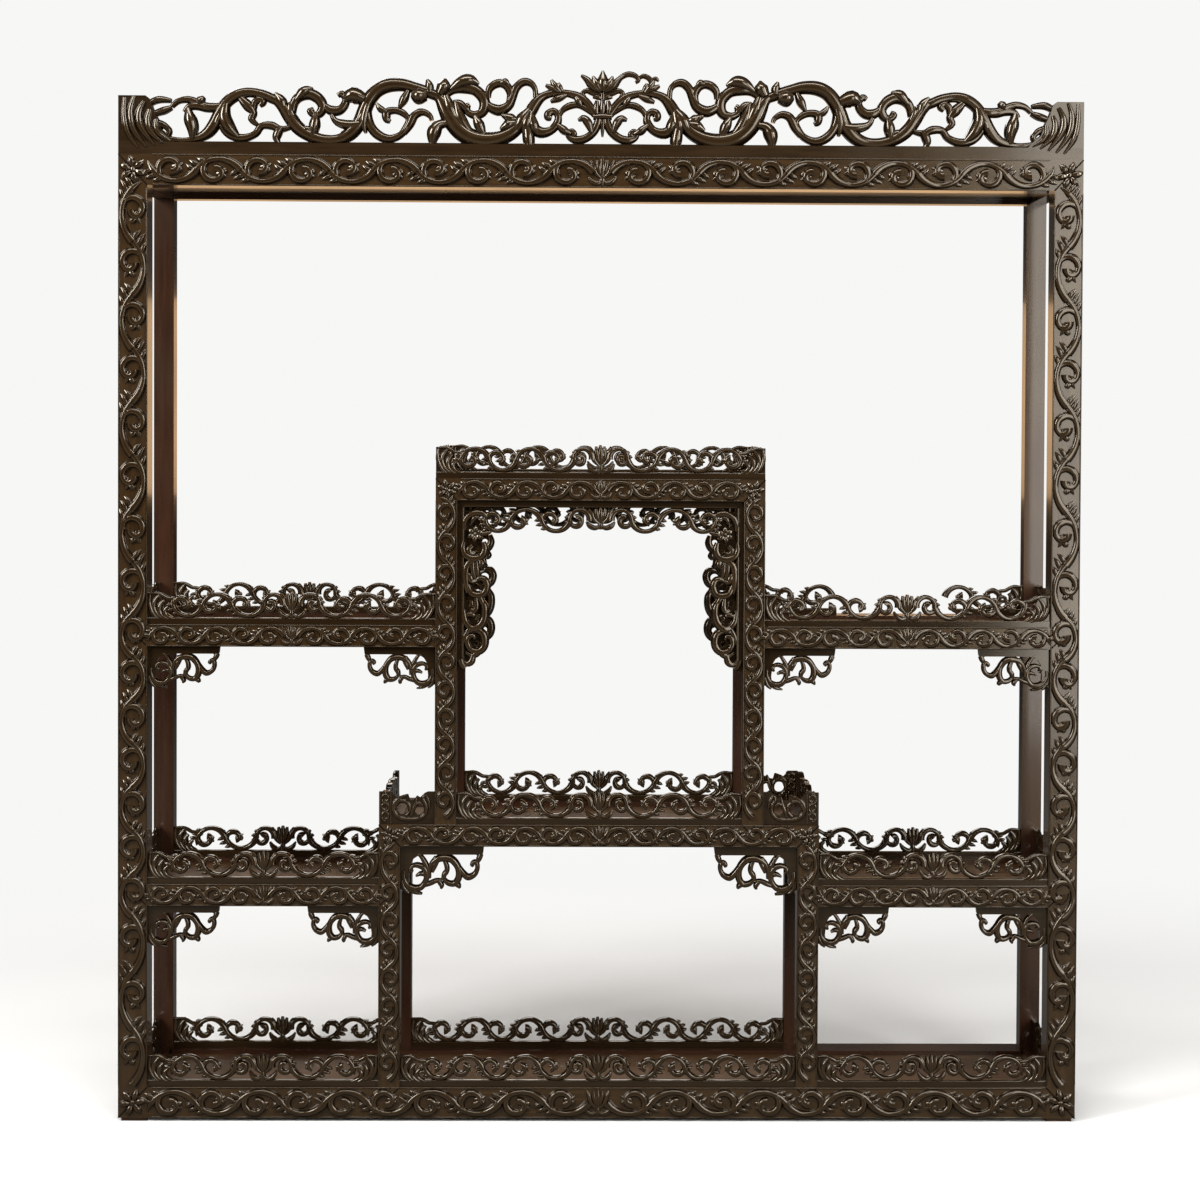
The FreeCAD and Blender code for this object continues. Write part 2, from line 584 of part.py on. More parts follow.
def countersunk_screw(x):
    tip = Vector(x, BACK - SCREW_LENGTH, hanger_height)
    shank = Part.makeCylinder(SCREW_RADIUS, SCREW_LENGTH - HANGER_THICKNESS, tip, Vector(0, 1, 0))
    head = Part.makeCone(SCREW_RADIUS, SCREW_HEAD_RADIUS, HANGER_THICKNESS,
                         Vector(x, plate_front, hanger_height), Vector(0, 1, 0))
    return joined(shank, head)


left_screws = [countersunk_screw(hanger_middle - SCREW_SPACING / 2),
               countersunk_screw(hanger_middle + SCREW_SPACING / 2)]
hanger_plate = housed(hanger_seat, hanger_hole, *left_screws)
top_rail_back = housed(top_back_rail, top_board, top_side, mirrored(top_side))
for cut in [hanger_seat, hanger_pocket] + left_screws:
    top_rail_back = housed(top_rail_back, cut, mirrored(cut))

# Side rails with the grooves for their boards
top_side_rail = housed(top_side, top_board)
bottom_side_rail = housed(bottom_side, bottom_board)
niche_side_rail = housed(niche_side, niche_board)
step_side_rail = housed(step_side, step_board)
shelf_side_rails = [housed(upper_outer_side, upper_board), housed(upper_inner_side, upper_board),
                    housed(lower_outer_side, lower_board), housed(lower_inner_side, lower_board)]

# Crest base and feet
crest_base = box(STILE_OUT, -STILE_OUT, FRONT, STILE_BACK, FRAME_TOP, FRAME_TOP + CREST_BASE_HEIGHT)
foot_front = FRONT + FOOT_SETBACK
foot_back = BACK - FOOT_SETBACK
front_foot = box(STILE_IN - FOOT_WIDTH, STILE_IN, foot_front, foot_front + FOOT_DEPTH, 0, BASE)
back_foot = box(BACK_POST_OUT, STILE_IN, foot_back - FOOT_DEPTH, foot_back, 0, BASE)

# Front galleries
upper_gallery = gallery_between(STILE_IN, NICHE_OUT, GALLERY_FRONT, UPPER_TOP)
lower_gallery = gallery_between(STILE_IN, LOWER_OUT, GALLERY_FRONT, LOWER_TOP)
bottom_gallery = gallery_between(STILE_IN, LOWER_OUT, GALLERY_FRONT, BOTTOM_TOP)
bottom_centre_gallery = gallery_between(LOWER_IN, -LOWER_IN, GALLERY_FRONT, BOTTOM_TOP)
niche_gallery = gallery_between(NICHE_IN, -NICHE_IN, GALLERY_FRONT, STEP_TOP)
niche_top_gallery = gallery_between(NICHE_OUT, -NICHE_OUT, GALLERY_FRONT, NICHE_TOP)

# Back galleries, in line with the front of the back posts
back_gallery_end = BACK_POST_FRONT + GALLERY_THICKNESS
niche_side_outer = niche_side.BoundBox.XMin
step_side_outer = step_side.BoundBox.XMin
upper_back_gallery = gallery_between(STILE_IN, NICHE_OUT, BACK_POST_FRONT, UPPER_TOP)
lower_back_gallery = gallery_between(STILE_IN, LOWER_OUT, BACK_POST_FRONT, LOWER_TOP)
bottom_back_gallery = gallery_between(STILE_IN, LOWER_OUT, BACK_POST_FRONT, BOTTOM_TOP)
bottom_centre_back_gallery = gallery_between(LOWER_IN, -LOWER_IN, BACK_POST_FRONT, BOTTOM_TOP)
niche_back_gallery = gallery_between(NICHE_IN, -NICHE_IN, BACK_POST_FRONT, STEP_TOP)
niche_top_back_gallery = gallery_between(niche_side_outer + GALLERY_THICKNESS,
                                         -niche_side_outer - GALLERY_THICKNESS, BACK_POST_FRONT, NICHE_TOP)


def fragment(x0, x1):
    """What is left of the right upper back gallery between two places: its largest piece."""
    window = box(x0, x1, FRONT, BACK, UPPER_TOP, UPPER_TOP + GALLERY_HEIGHT)
    pieces = mirrored(upper_back_gallery).common(window).Solids
    return max(pieces, key=lambda piece: piece.Volume)


break_inner = -NICHE_OUT + BREAK_START
inner_fragment = fragment(-NICHE_OUT, break_inner)
outer_fragment = fragment(break_inner + BREAK_LENGTH, -STILE_IN)

# Side galleries stand on the outer edges of the side rails
shelf_side_outer = bottom_side.BoundBox.XMin
side_galleries = [side_gallery(shelf_side_outer, STILE_BACK, BACK_POST_FRONT, level)
                  for level in (BOTTOM_TOP, LOWER_TOP, UPPER_TOP)]
niche_top_side_gallery = side_gallery(niche_side_outer, GALLERY_BACK, back_gallery_end, NICHE_TOP)
step_side_gallery = side_gallery(step_side_outer, GALLERY_BACK, back_gallery_end, STEP_TOP)
step_front_gallery = step_gallery(LOWER_OUT, NICHE_OUT, GALLERY_FRONT)
step_back_gallery = step_gallery(-NICHE_OUT, -step_side_outer - GALLERY_THICKNESS, BACK_POST_FRONT)

# Brackets and aprons
shelf_bracket = bracket(SHELF_BRACKET_WIDTH, SHELF_BRACKET_HEIGHT, SHELF_BRACKET_RING, SHELF_BRACKET_TIP)
step_bracket = bracket(STEP_BRACKET_WIDTH, STEP_BRACKET_HEIGHT, STEP_BRACKET_RING, STEP_BRACKET_TIP)
upper_brackets = bracket_pair(shelf_bracket, STILE_IN, NICHE_OUT, UPPER_TOP - SHELF_RAIL_HEIGHT)
lower_brackets = bracket_pair(shelf_bracket, STILE_IN, LOWER_OUT, LOWER_TOP - SHELF_RAIL_HEIGHT)
step_brackets = bracket_pair(step_bracket, LOWER_IN, -LOWER_IN, STEP_BOTTOM)
front_drop = apron_drop(FRONT + APRON_SETBACK)
back_drop = apron_drop(BACK_POST_FRONT + APRON_SETBACK)


os.makedirs("parts", exist_ok=True)

# Pieces that come as a mirrored pair, one node each
handed = {
    "front_stile": stile,
    "back_post": left_back_post,
    "niche_front_post": left_niche_post,
    "niche_back_post": left_niche_back_post,
    "lower_front_post": left_lower_post,
    "lower_back_post": left_lower_back_post,
    "upper_front_rail": upper_front_rail,
    "upper_back_rail": upper_rail_back,
    "upper_board": upper_board,
    "lower_front_rail": lower_front_rail,
    "lower_back_rail": lower_rail_back,
    "lower_board": lower_board}
for name, piece in handed.items():
    save("left_" + name, piece)
    save("right_" + name, mirrored(piece))

# Pieces that run across the middle
single = {
    "top_front_rail": top_front_rail,
    "bottom_front_rail": bottom_front_rail,
    "top_back_rail": top_rail_back,
    "bottom_back_rail": bottom_rail_back,
    "top_board": top_board,
    "bottom_board": bottom_board,
    "crest_base": crest_base,
    "crest": crest(),
    "niche_top_front_rail": niche_front_rail,
    "niche_top_back_rail": niche_rail_back,
    "niche_top_board": niche_board,
    "step_front_rail": step_front_rail,
    "step_back_rail": step_rail_back,
    "step_board": step_board}
for name, piece in single.items():
    save(name, piece)

# Groups of like pieces, as separate solids in one node
paired = {
    "feet": [front_foot, back_foot],
    "frame_side_rails": [top_side_rail, bottom_side_rail],
    "niche_top_side_rails": [niche_side_rail],
    "step_side_rails": [step_side_rail],
    "shelf_side_rails": shelf_side_rails,
    "upper_front_galleries": [upper_gallery],
    "lower_front_galleries": [lower_gallery],
    "lower_back_galleries": [lower_back_gallery],
    "shelf_side_galleries": side_galleries,
    "upper_brackets": upper_brackets,
    "lower_brackets": lower_brackets,
    "hanger_plates": [hanger_plate],
    "hanger_screws": left_screws}
for name, pieces in paired.items():
    save(name, *pieces, *[mirrored(piece) for piece in pieces])

save("step_brackets", *step_brackets)
save("step_galleries", step_front_gallery, mirrored(step_front_gallery), step_back_gallery,
     step_side_gallery, mirrored(step_side_gallery))
save("niche_floor_galleries", niche_gallery, niche_back_gallery)
save("niche_top_galleries", niche_top_gallery, niche_top_back_gallery,
     niche_top_side_gallery, mirrored(niche_top_side_gallery))
save("upper_back_galleries", upper_back_gallery, inner_fragment, outer_fragment)
save("bottom_front_galleries", bottom_gallery, bottom_centre_gallery, mirrored(bottom_gallery))
save("bottom_back_galleries", bottom_back_gallery, bottom_centre_back_gallery)
save("niche_front_apron", apron_top(FRONT + APRON_SETBACK), front_drop, mirrored(front_drop))
save("niche_back_apron", apron_top(BACK_POST_FRONT + APRON_SETBACK), back_drop, mirrored(back_drop))
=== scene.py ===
import cmath
import math
import bmesh
import bpy
from mathutils import Matrix, Vector


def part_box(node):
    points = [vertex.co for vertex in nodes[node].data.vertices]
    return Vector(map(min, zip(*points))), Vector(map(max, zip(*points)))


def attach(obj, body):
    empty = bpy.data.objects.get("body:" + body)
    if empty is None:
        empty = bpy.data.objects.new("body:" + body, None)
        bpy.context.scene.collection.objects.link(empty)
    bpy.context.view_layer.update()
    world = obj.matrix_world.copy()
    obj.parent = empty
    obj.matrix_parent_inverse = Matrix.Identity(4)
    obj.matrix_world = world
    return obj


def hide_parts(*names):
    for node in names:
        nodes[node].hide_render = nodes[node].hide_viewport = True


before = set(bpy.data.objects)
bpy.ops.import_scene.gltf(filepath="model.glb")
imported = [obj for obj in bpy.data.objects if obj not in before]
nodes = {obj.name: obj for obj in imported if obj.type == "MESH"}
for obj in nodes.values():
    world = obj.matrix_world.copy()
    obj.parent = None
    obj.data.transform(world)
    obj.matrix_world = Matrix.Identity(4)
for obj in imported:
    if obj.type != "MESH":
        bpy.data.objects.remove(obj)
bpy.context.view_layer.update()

# Front frame: two stiles and two rails, mitred at the corners, of a dark hardwood under a
# brown-black lacquer that has worn to a satin. The ground of the carving is cut flat.
def feed(tree, target, inputs):
    """Gives inputs of a node plain values, or links them to outputs of other nodes."""
    for name, source in inputs.items():
        if isinstance(source, bpy.types.NodeSocket):
            tree.links.new(source, target.inputs[name])
        else:
            target.inputs[name].default_value = source


def add_node(tree, kind, inputs, **settings):
    """Adds a shader node of the kind to a tree, with its settings and inputs."""
    added = tree.nodes.new("ShaderNode" + kind)
    for name, value in settings.items():
        setattr(added, name, value)
    feed(tree, added, inputs)
    return added


surface = bpy.data.node_groups.new("wood_surface", "ShaderNodeTree")
for name, way, kind in (("Stretch", "INPUT", "Vector"), ("Grain", "OUTPUT", "Float"),
                        ("Patch", "OUTPUT", "Float")):
    surface.interface.new_socket(name, in_out=way, socket_type="NodeSocket" + kind)
surface_in = surface.nodes.new("NodeGroupInput")
where = surface.nodes.new("ShaderNodeTexCoord")
stretched = add_node(surface, "VectorMath",
                     {0: where.outputs["Object"], 1: surface_in.outputs["Stretch"]}, operation="MULTIPLY")
fibre = add_node(surface, "TexNoise",
                 {"Vector": stretched.outputs[0], "Scale": 1.0, "Detail": 5.0, "Roughness": 0.62})
fibre_range = add_node(surface, "MapRange",
                       {"Value": fibre.outputs["Fac"], "From Min": 0.32, "From Max": 0.68})
patch = add_node(surface, "TexNoise",
                 {"Vector": where.outputs["Object"], "Scale": 9.0, "Detail": 3.0})
patch_range = add_node(surface, "MapRange",
                       {"Value": patch.outputs["Fac"], "From Min": 0.35, "From Max": 0.65})
feed(surface, surface.nodes.new("NodeGroupOutput"),
     {"Grain": fibre_range.outputs["Result"], "Patch": patch_range.outputs["Result"]})
WARM_SHEEN = (1.0, 0.86, 0.62, 1)


def wood(name, stretch, dark, light, gloss, dull, tints=()):
    """Lacquered wood: grain between two colours and uneven gloss. Tints, as (from, to, colour), follow the
    carving's weights: a painted highlight on rubbed ridges and painted shade at the foot."""
    material = bpy.data.materials.new(name)
    material.use_nodes = True
    tree = material.node_tree
    group = add_node(tree, "Group", {"Stretch": stretch}, node_tree=surface)
    colour = add_node(tree, "Mix",
                      {"Factor": group.outputs["Grain"], "A": (*dark, 1), "B": (*light, 1)}, data_type="RGBA")
    # The tints paint a highlight on the rubbed ridges and shade at the foot of the carving.
    for start, end, tint in tints:
        wear_highlight_and_shade = add_node(tree, "Attribute", {}, attribute_name="wear_highlight_and_shade")
        band = add_node(tree, "MapRange",
                        {"Value": wear_highlight_and_shade.outputs["Fac"], "From Min": start, "From Max": end})
        colour = add_node(tree, "Mix",
                          {"Factor": band.outputs["Result"], "A": colour.outputs["Result"], "B": (*tint, 1)},
                          data_type="RGBA")
    rough = add_node(tree, "MapRange",
                     {"Value": group.outputs["Patch"], "To Min": gloss, "To Max": dull})
    pores = add_node(tree, "Bump",
                     {"Height": group.outputs["Grain"], "Strength": 0.05, "Distance": 0.0004})
    feed(tree, tree.nodes["Principled BSDF"],
         {"Base Color": colour.outputs["Result"], "Roughness": rough.outputs["Result"],
          "Normal": pores.outputs["Normal"], "Specular Tint": WARM_SHEEN,
          "Coat Weight": 0.5, "Coat Roughness": 0.1})
    return material


# Cells of the grain per metre along x, y and z, for wood that runs across, up or deep.
ACROSS = (14, 180, 180)
UPRIGHT = (180, 180, 14)
DEEP = (180, 14, 180)
FRAME_DARK = (0.0200, 0.0100, 0.0036)
FRAME_LIGHT = (0.0370, 0.0190, 0.0066)
frame_across = wood("frame_across", ACROSS, FRAME_DARK, FRAME_LIGHT, 0.18, 0.28)
frame_upright = wood("frame_upright", UPRIGHT, FRAME_DARK, FRAME_LIGHT, 0.18, 0.28)


def paint(material, *names):
    """Gives CAD nodes the material in place of their own."""
    for name in names:
        nodes[name].data.materials.clear()
        nodes[name].data.materials.append(material)


def both(*names):
    """The left and the right CAD node of each name."""
    return [side + name for name in names for side in ("left_", "right_")]


paint(frame_across, "top_front_rail", "bottom_front_rail")
paint(frame_upright, *both("front_stile"))

# Relief on the front frame: a running leaf scroll left standing from the ground, its stems cut with a
# groove along the middle, and a flower over each mitre. It is drawn in millimetres, as lines of places
# (across, up, half width), and a carving is the mesh of grooved stems along its lines.
def stem_section(name, shoulder, brow, crown):
    """Cross-section that the stems of a carving are swept with, for a half width of 1, by three heights."""
    left = [(-1.25, -0.4), (-1.22, 0.06), (-0.98, 0.34), (-0.80, shoulder), (-0.45, brow)]
    points = left + [(0.0, crown)] + [(-across, up) for across, up in reversed(left)]
    curve = bpy.data.curves.new(name, "CURVE")
    curve.dimensions = "2D"
    line = curve.splines.new("POLY")
    line.points.add(len(points) - 1)
    for point, (across, up) in zip(line.points, points):
        point.co = (across, up, 0, 1)
    line.use_cyclic_u = True
    section = bpy.data.objects.new(name, curve)
    bpy.context.collection.objects.link(section)
    return section


grooved = stem_section("grooved", 0.74, 1.02, 0.90)
rounded = stem_section("rounded", 0.66, 0.93, 1.04)
MM = 0.001
# Tint weights of the section's points in turn: 1 on the ridge tops, rubbed lighter and with a painted
# highlight;
# -1 at the foot, with painted shade where the stem meets the ground.
WEAR_HIGHLIGHT_AND_SHADE = (0.0, -1.0, -0.8, 0.3, 1.0, 0.0, 1.0, 0.3, -0.8, -1.0, 0.0)
# Colours of the carved wood: the frame's colours darkened to about three fifths, a painted shade on the
# carved stems.
SHADED_CARVED_DARK = (0.0125, 0.0064, 0.0024)
SHADED_CARVED_LIGHT = (0.0230, 0.0122, 0.0046)
# Lighter on the ridges, partly rubbed and partly a painted highlight; near black at the foot, a painted
# shade.
WORN_HIGHLIGHT_AND_SHADE_TINTS = ((0.3, 1.0, (0.034, 0.0200, 0.0090)), (0.2, -0.8, (0.004, 0.0022, 0.0010)))
relief_wood = wood("relief_wood", ACROSS, SHADED_CARVED_DARK, SHADED_CARVED_LIGHT, 0.12, 0.19, WORN_HIGHLIGHT_AND_SHADE_TINTS)
# Half widths along a leaf, as shares of its width.
POINTED = (0.5, 0.85, 1.0, 0.9, 0.6, 0.12)
LOBE = (0.55, 0.85, 1.05, 1.1, 0.95, 0.45)


def polar(angle, reach):
    """Step in the drawing, across + up * 1j, at an angle in degrees."""
    return cmath.rect(reach, math.radians(angle))


def arc(centre, radius, start, end, first, last, steps):
    """Line along a circular arc, its half width going evenly from first to last."""
    line = []
    for step in range(steps + 1):
        part = step / steps
        spot = centre + polar(start + (end - start) * part, radius)
        line.append((spot.real, spot.imag, first + (last - first) * part))
    return line


def leaf(spot, angle, length, width, bend, swells=POINTED):
    """A leaf that swells along its length and turns by the bend on its way."""
    line = []
    steps = len(swells) - 1
    for place, swell in enumerate(swells):
        line.append((spot.real, spot.imag, width * swell))
        spot += polar(angle + bend * place / steps, length / steps)
    return line


def smooth(points, steps=4):
    """Line through a few drawn places, with more put in along a smooth curve."""
    padded = [points[0], *points, points[-1]]
    line = []
    for before, here, there, after in zip(padded, padded[1:], padded[2:], padded[3:]):
        for step in range(steps):
            t = step / steps
            line.append(tuple(0.5 * (2 * b + (c - a) * t + (2 * a - 5 * b + 4 * c - d) * t * t
                                     + (3 * b - a - 3 * c + d) * t ** 3)
                              for a, b, c, d in zip(before, here, there, after)))
    return [*line, points[-1]]


def drawn(lines, swell=1.0, shift=0.0):
    """Smooth lines through drawn places, with their widths swelled, shifted across."""
    return [smooth([(x + shift, z, width * swell) for x, z, width in line]) for line in lines]


def half_wave(start, heading, chord, rise, stem, side, curl, sweep):
    """Half a wave of a running scroll: a stem that thins out from its sheath, a curl branching off
    inside it and three pointed leaves outside its far end."""
    sheath, waist, join_width = 0.60 * stem, 0.36 * stem, 0.44 * stem
    radius = (chord * chord / 4 + rise * rise) / (2 * rise)
    half_arc = math.degrees(2 * math.atan(2 * rise / chord))
    crown = heading + 90 * side
    wave_centre = start + polar(heading, chord / 2) + polar(crown, rise - radius)
    join = crown - side * half_arc
    tip = min(28, math.degrees(math.acos(max(-1, 1 - 1.8 * rise / radius))) - half_arc)
    lines = [arc(wave_centre, radius, crown + side * half_arc, crown, sheath, waist, 8)
             + arc(wave_centre, radius, crown, join, waist, join_width, 6)[1:],
             arc(wave_centre, radius, join, join - side * tip, join_width, 0.10 * stem, 5)]
    size = curl * min(rise, 2 * radius - rise)
    offset = math.sqrt((radius - size) ** 2 - (radius - rise) ** 2)
    centre = wave_centre + polar(crown, radius - rise) + polar(heading, offset)
    turn = crown - side * math.degrees(math.atan2(offset, radius - rise))
    belly = turn - side * 110
    inner = turn - side * (110 + sweep)
    line = arc(centre, size, turn, belly, 0.32 * stem, 0.50 * stem, 10)
    line += arc(centre, size, belly, inner, 0.50 * stem, 0.40 * stem, 10)[1:]
    spot = centre + polar(inner, size)
    bud = spot + (centre - spot) * 0.52
    line += arc(bud, 0.52 * size, inner, inner - side * 1.6 * sweep, 0.40 * stem, 0.58 * stem, 10)[1:]
    lines.append(line)
    for share, spread, length in ((0.50, 32, 0.22), (0.76, 50, 0.27), (1.02, 72, 0.25)):
        angle = crown - side * half_arc * share
        spot = wave_centre + polar(angle, radius + 0.15 * stem)
        lines.append(leaf(spot, angle - side * (90 - spread), length * chord, 0.33 * stem, side * 30))
    back = math.degrees(cmath.phase(start - centre))
    fork = bud + polar(back, 0.12 * chord)
    lines.append(leaf(bud, back, 0.26 * chord, 0.36 * stem, side * 45))
    lines.append(leaf(fork, back - side * 55, 0.15 * chord, 0.36 * stem, side * 40, LOBE))
    return lines


def scroll_run(start, heading, chords, rise, stem, side, curl=0.92, sweep=95):
    """Running scroll of half waves that rise to either side in turn."""
    lines = []
    for chord in chords:
        lines += half_wave(start, heading, chord, rise, stem, side, curl, sweep)
        start += polar(heading, chord)
        side = -side
    return lines


def flower(spot, radius, width, turn):
    """A flower seen from above: six petals round a bud."""
    lines = []
    for petal in range(6):
        angle = turn + 60 * petal
        lines.append(leaf(spot + polar(angle, radius * 0.22), angle - 14, radius * 0.82, width, 28))
    lines.append(leaf(spot - radius * 0.2, 0, radius * 0.4, 0.9 * width, 0, LOBE))
    return lines


def mirrored(lines):
    """The lines' twins on the other side of the middle."""
    return [[(-x, z, width) for x, z, width in line] for line in lines]


# A lotus, in shares of its half width and of its height above the cup: its right half, then its middle.
lotus_half = [
    [(0.12, 0.0, 0.10), (0.34, 0.45, 0.20), (0.43, 0.92, 0.10)],
    [(0.20, -0.10, 0.10), (0.64, 0.20, 0.19), (0.82, 0.58, 0.18), (1.10, 0.90, 0.08)],
    [(0.05, -0.32, 0.12), (0.50, -0.45, 0.18), (1.00, -0.30, 0.19), (1.30, 0.0, 0.07)]]
lotus_middle = [
    [(0, -0.05, 0.14), (0, 0.5, 0.24), (0, 1.0, 0.10)],
    [(0, -0.55, 0.14), (0, -0.25, 0.20), (0, -0.02, 0.12)]]


def palmette(base, top, half):
    """A lotus: three upright petals between two that curl out, on a foot with two tendrils."""
    cup = base + (top - base) * 0.36
    return [smooth([(across * half, cup + up * (top - cup), width * half) for across, up, width in line])
            for line in mirrored(lotus_half) + lotus_half + lotus_middle]


# The back of a broad stem lies a hair deeper than that of a fine one, so that no two coincide.
BACK_SHARE = 0.1
BACK_MARGIN = 0.15


def carved(lines, depth=None, section=grooved):
    """Mesh of stems along the lines, front at +Z; pierced work gets a flat back at the depth."""
    curve = bpy.data.curves.new("stems", "CURVE")
    curve.dimensions = "3D"
    curve.twist_mode = "Z_UP"
    curve.bevel_mode = "OBJECT"
    curve.bevel_object = section
    curve.use_fill_caps = True
    for line in lines:
        spline = curve.splines.new("POLY")
        spline.points.add(len(line) - 1)
        for point, (x, z, width) in zip(spline.points, line):
            point.co = (x, z, 0, 1)
            point.radius = width
    carrier = bpy.data.objects.new("stems", curve)
    bpy.context.collection.objects.link(carrier)
    bpy.context.view_layer.update()
    mesh = bpy.data.meshes.new_from_object(carrier.evaluated_get(bpy.context.evaluated_depsgraph_get()))
    bpy.data.objects.remove(carrier)
    bpy.data.curves.remove(curve)
    # Weights for the tints: painted highlight on the ridges, painted shade at the foot.
    wear_highlight_and_shade = mesh.attributes.new("wear_highlight_and_shade", "FLOAT", "POINT")
    wear_highlight_and_shade.data.foreach_set("value", WEAR_HIGHLIGHT_AND_SHADE * (len(mesh.vertices) // len(WEAR_HIGHLIGHT_AND_SHADE)))
    if depth is not None:
        for vertex in mesh.vertices:
            if vertex.co.z < 0:
                vertex.co.z = BACK_SHARE * vertex.co.z - depth + BACK_MARGIN
    return mesh


RIGHT, UP, LEFT = (1, 0, 0), (0, 0, 1), (-1, 0, 0)


def facing(place, right=RIGHT, up=UP):
    """Matrix from carving millimetres (right, up, out of the face) to the cabinet's metres."""
    right, up = Vector(right), Vector(up)
    axes = Matrix((right, up, right.cross(up))).transposed().to_4x4()
    return Matrix.Translation(Vector(place)) @ axes @ Matrix.Scale(MM, 4)


def finished(name, parts, material, slot, *replaced):
    """Makes a piece of parts, which are meshes and their places, fixed to the cabinet and standing for
    the named CAD nodes."""
    bm = bmesh.new()
    for part, place in parts:
        part.transform(place)
        bm.from_mesh(part)
        bpy.data.meshes.remove(part)
    bmesh.ops.recalc_face_normals(bm, faces=bm.faces)
    mesh = bpy.data.meshes.new(name)
    bm.to_mesh(mesh)
    bm.free()
    mesh.shade_smooth()
    mesh.set_sharp_from_angle(angle=math.radians(58))
    mesh.materials.append(material)
    piece = bpy.data.objects.new(name, mesh)
    bpy.context.collection.objects.link(piece)
    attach(piece, "root")
    if replaced:
        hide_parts(*replaced)


FRONT_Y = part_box("left_front_stile")[0].y
EDGE_BEAD = 0.6
FLOWER_LEAN = 15


def span(name, axis):
    """Where a CAD node starts and ends across (0) or up (2), in millimetres."""
    return [corner[axis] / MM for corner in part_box(name)]


def stretched_chords(start, stretches):
    """Chords of half waves by stretches, each given as the place where it ends and its count."""
    chords = []
    for end, count in stretches:
        chords += [(end - start) / count] * count
        start = end
    return chords


def edge_beads(breadth, start, end):
    """Fine beads along both edges of a member."""
    return [[(start, edge, EDGE_BEAD), (end, edge, EDGE_BEAD)]
            for edge in (EDGE_BEAD - breadth / 2, breadth / 2 - EDGE_BEAD)]


def set_relief(name, lines, level, right, up):
    """Sets a relief on the front of a CAD node, drawn from the node's middle at the level."""
    place = facing((sum(span(name, 0)) / 2 * MM, FRONT_Y, level * MM), right, up)
    finished(name + "_carving", [(carved(lines), place)], relief_wood, "frame_wood")


def carve_rail(name, style, side, stretches, inset=None, tips=()):
    """Carves a rail: a lotus in the middle, a scroll run in stretches to either end with the tips after
    it, and flowers that far in from the ends."""
    height, stem, half, flower_radius, petal = style
    (left, right), (low, high) = span(name, 0), span(name, 2)
    lines = scroll_run(half + 0j, 0, stretched_chords(half, stretches), (height - stem) / 2, stem, side)
    lines += edge_beads(high - low, 0, stretches[-1][0])
    lines.extend(tips)
    lines += mirrored(lines) + palmette(0.2 * stem - height / 2, height / 2 - 0.1 * stem, 1.2 * half)
    for corner in (left + inset, right - inset) if inset else ():
        turn = 90 - math.copysign(FLOWER_LEAN, corner * side)
        lines += flower(corner + 0j, flower_radius, petal, turn)
    set_relief(name, lines, (low + high) / 2, RIGHT, UP)


def carve_post(name, style, side, start, stretches):
    """Carves an upright: one scroll run in stretches from end to end."""
    height, stem = style[:2]
    left, right = span(name, 0)
    lines = scroll_run(start + 0j, 0, stretched_chords(start, stretches), (height - stem) / 2, stem, side)
    set_relief(name, lines + edge_beads(right - left, start, stretches[-1][0]), 0, UP, LEFT)


# Height and stem of the scroll, half width of the lotus, radius of a flower and half width of its petals.
FRAME_STYLE = (29.0, 7.0, 9.0, 14.0, 3.2)
FRAME_GAP = 34.0
FRAME_CROWN = 21.0
MITRE_INSET = 14.5
# The scroll swings away from the points of the posts and shelf rails that are let into the frame.
frame_low, frame_high = span("left_front_stile", 2)
frame_end = span("top_front_rail", 0)[1] - FRAME_GAP
post_point = sum(span("right_lower_front_post", 0)) / 2
low_point = sum(span("left_lower_front_rail", 2)) / 2
high_point = sum(span("left_upper_front_rail", 2)) / 2
carve_rail("top_front_rail", FRAME_STYLE, 1, [(frame_end, 10)], MITRE_INSET)
carve_rail("bottom_front_rail", FRAME_STYLE, -1,
           [(post_point - FRAME_CROWN, 4), (post_point + FRAME_CROWN, 1), (frame_end, 5)], MITRE_INSET)
for name, side in zip(both("front_stile"), (-1, 1)):
    carve_post(name, FRAME_STYLE, side, frame_low + FRAME_GAP,
               [(low_point - FRAME_CROWN, 3), (low_point + FRAME_CROWN, 1), (high_point - FRAME_CROWN, 5),
                (high_point + FRAME_CROWN, 1), (frame_high - FRAME_GAP, 8)])

# Inner posts and shelf rails: narrower members of the same wood with the same scroll in relief, pointed
# or mitred where they meet, and with a flower over each mitre.
paint(frame_upright, *both("niche_front_post", "lower_front_post"))
paint(frame_across, "niche_top_front_rail", "step_front_rail", *both("upper_front_rail", "lower_front_rail"))
INNER_STYLE = (20.5, 5.0, 7.0, 10.0, 2.3)
INNER_CROWN = 14.5
CORNER_GAP = 25.0
CORNER_INSET = 11.0
POINT_GAP = 17.0
POINT_LEAF = 10.0
POINT_WIDTH = 2.2
POST_GAP = 22.0
niche_point = sum(span("right_niche_front_post", 0)) / 2
niche_end = span("niche_top_front_rail", 0)[1] - CORNER_GAP
step_end = span("step_front_rail", 0)[1] - CORNER_GAP
carve_rail("niche_top_front_rail", INNER_STYLE, 1, [(niche_end, 5)], CORNER_INSET)
carve_rail("step_front_rail", INNER_STYLE, 1,
           [(niche_point - INNER_CROWN, 5), (niche_point + INNER_CROWN, 1), (step_end, 1)], CORNER_INSET)
for kind, count in (("upper_front_rail", 5), ("lower_front_rail", 4)):
    for name in both(kind):
        left, right = span(name, 0)
        end = (right - left) / 2 - POINT_GAP
        tip = leaf(end - 1 + 0j, 0, POINT_LEAF, POINT_WIDTH, 0)
        carve_rail(name, INNER_STYLE, 1, [(end, count)], tips=[tip])
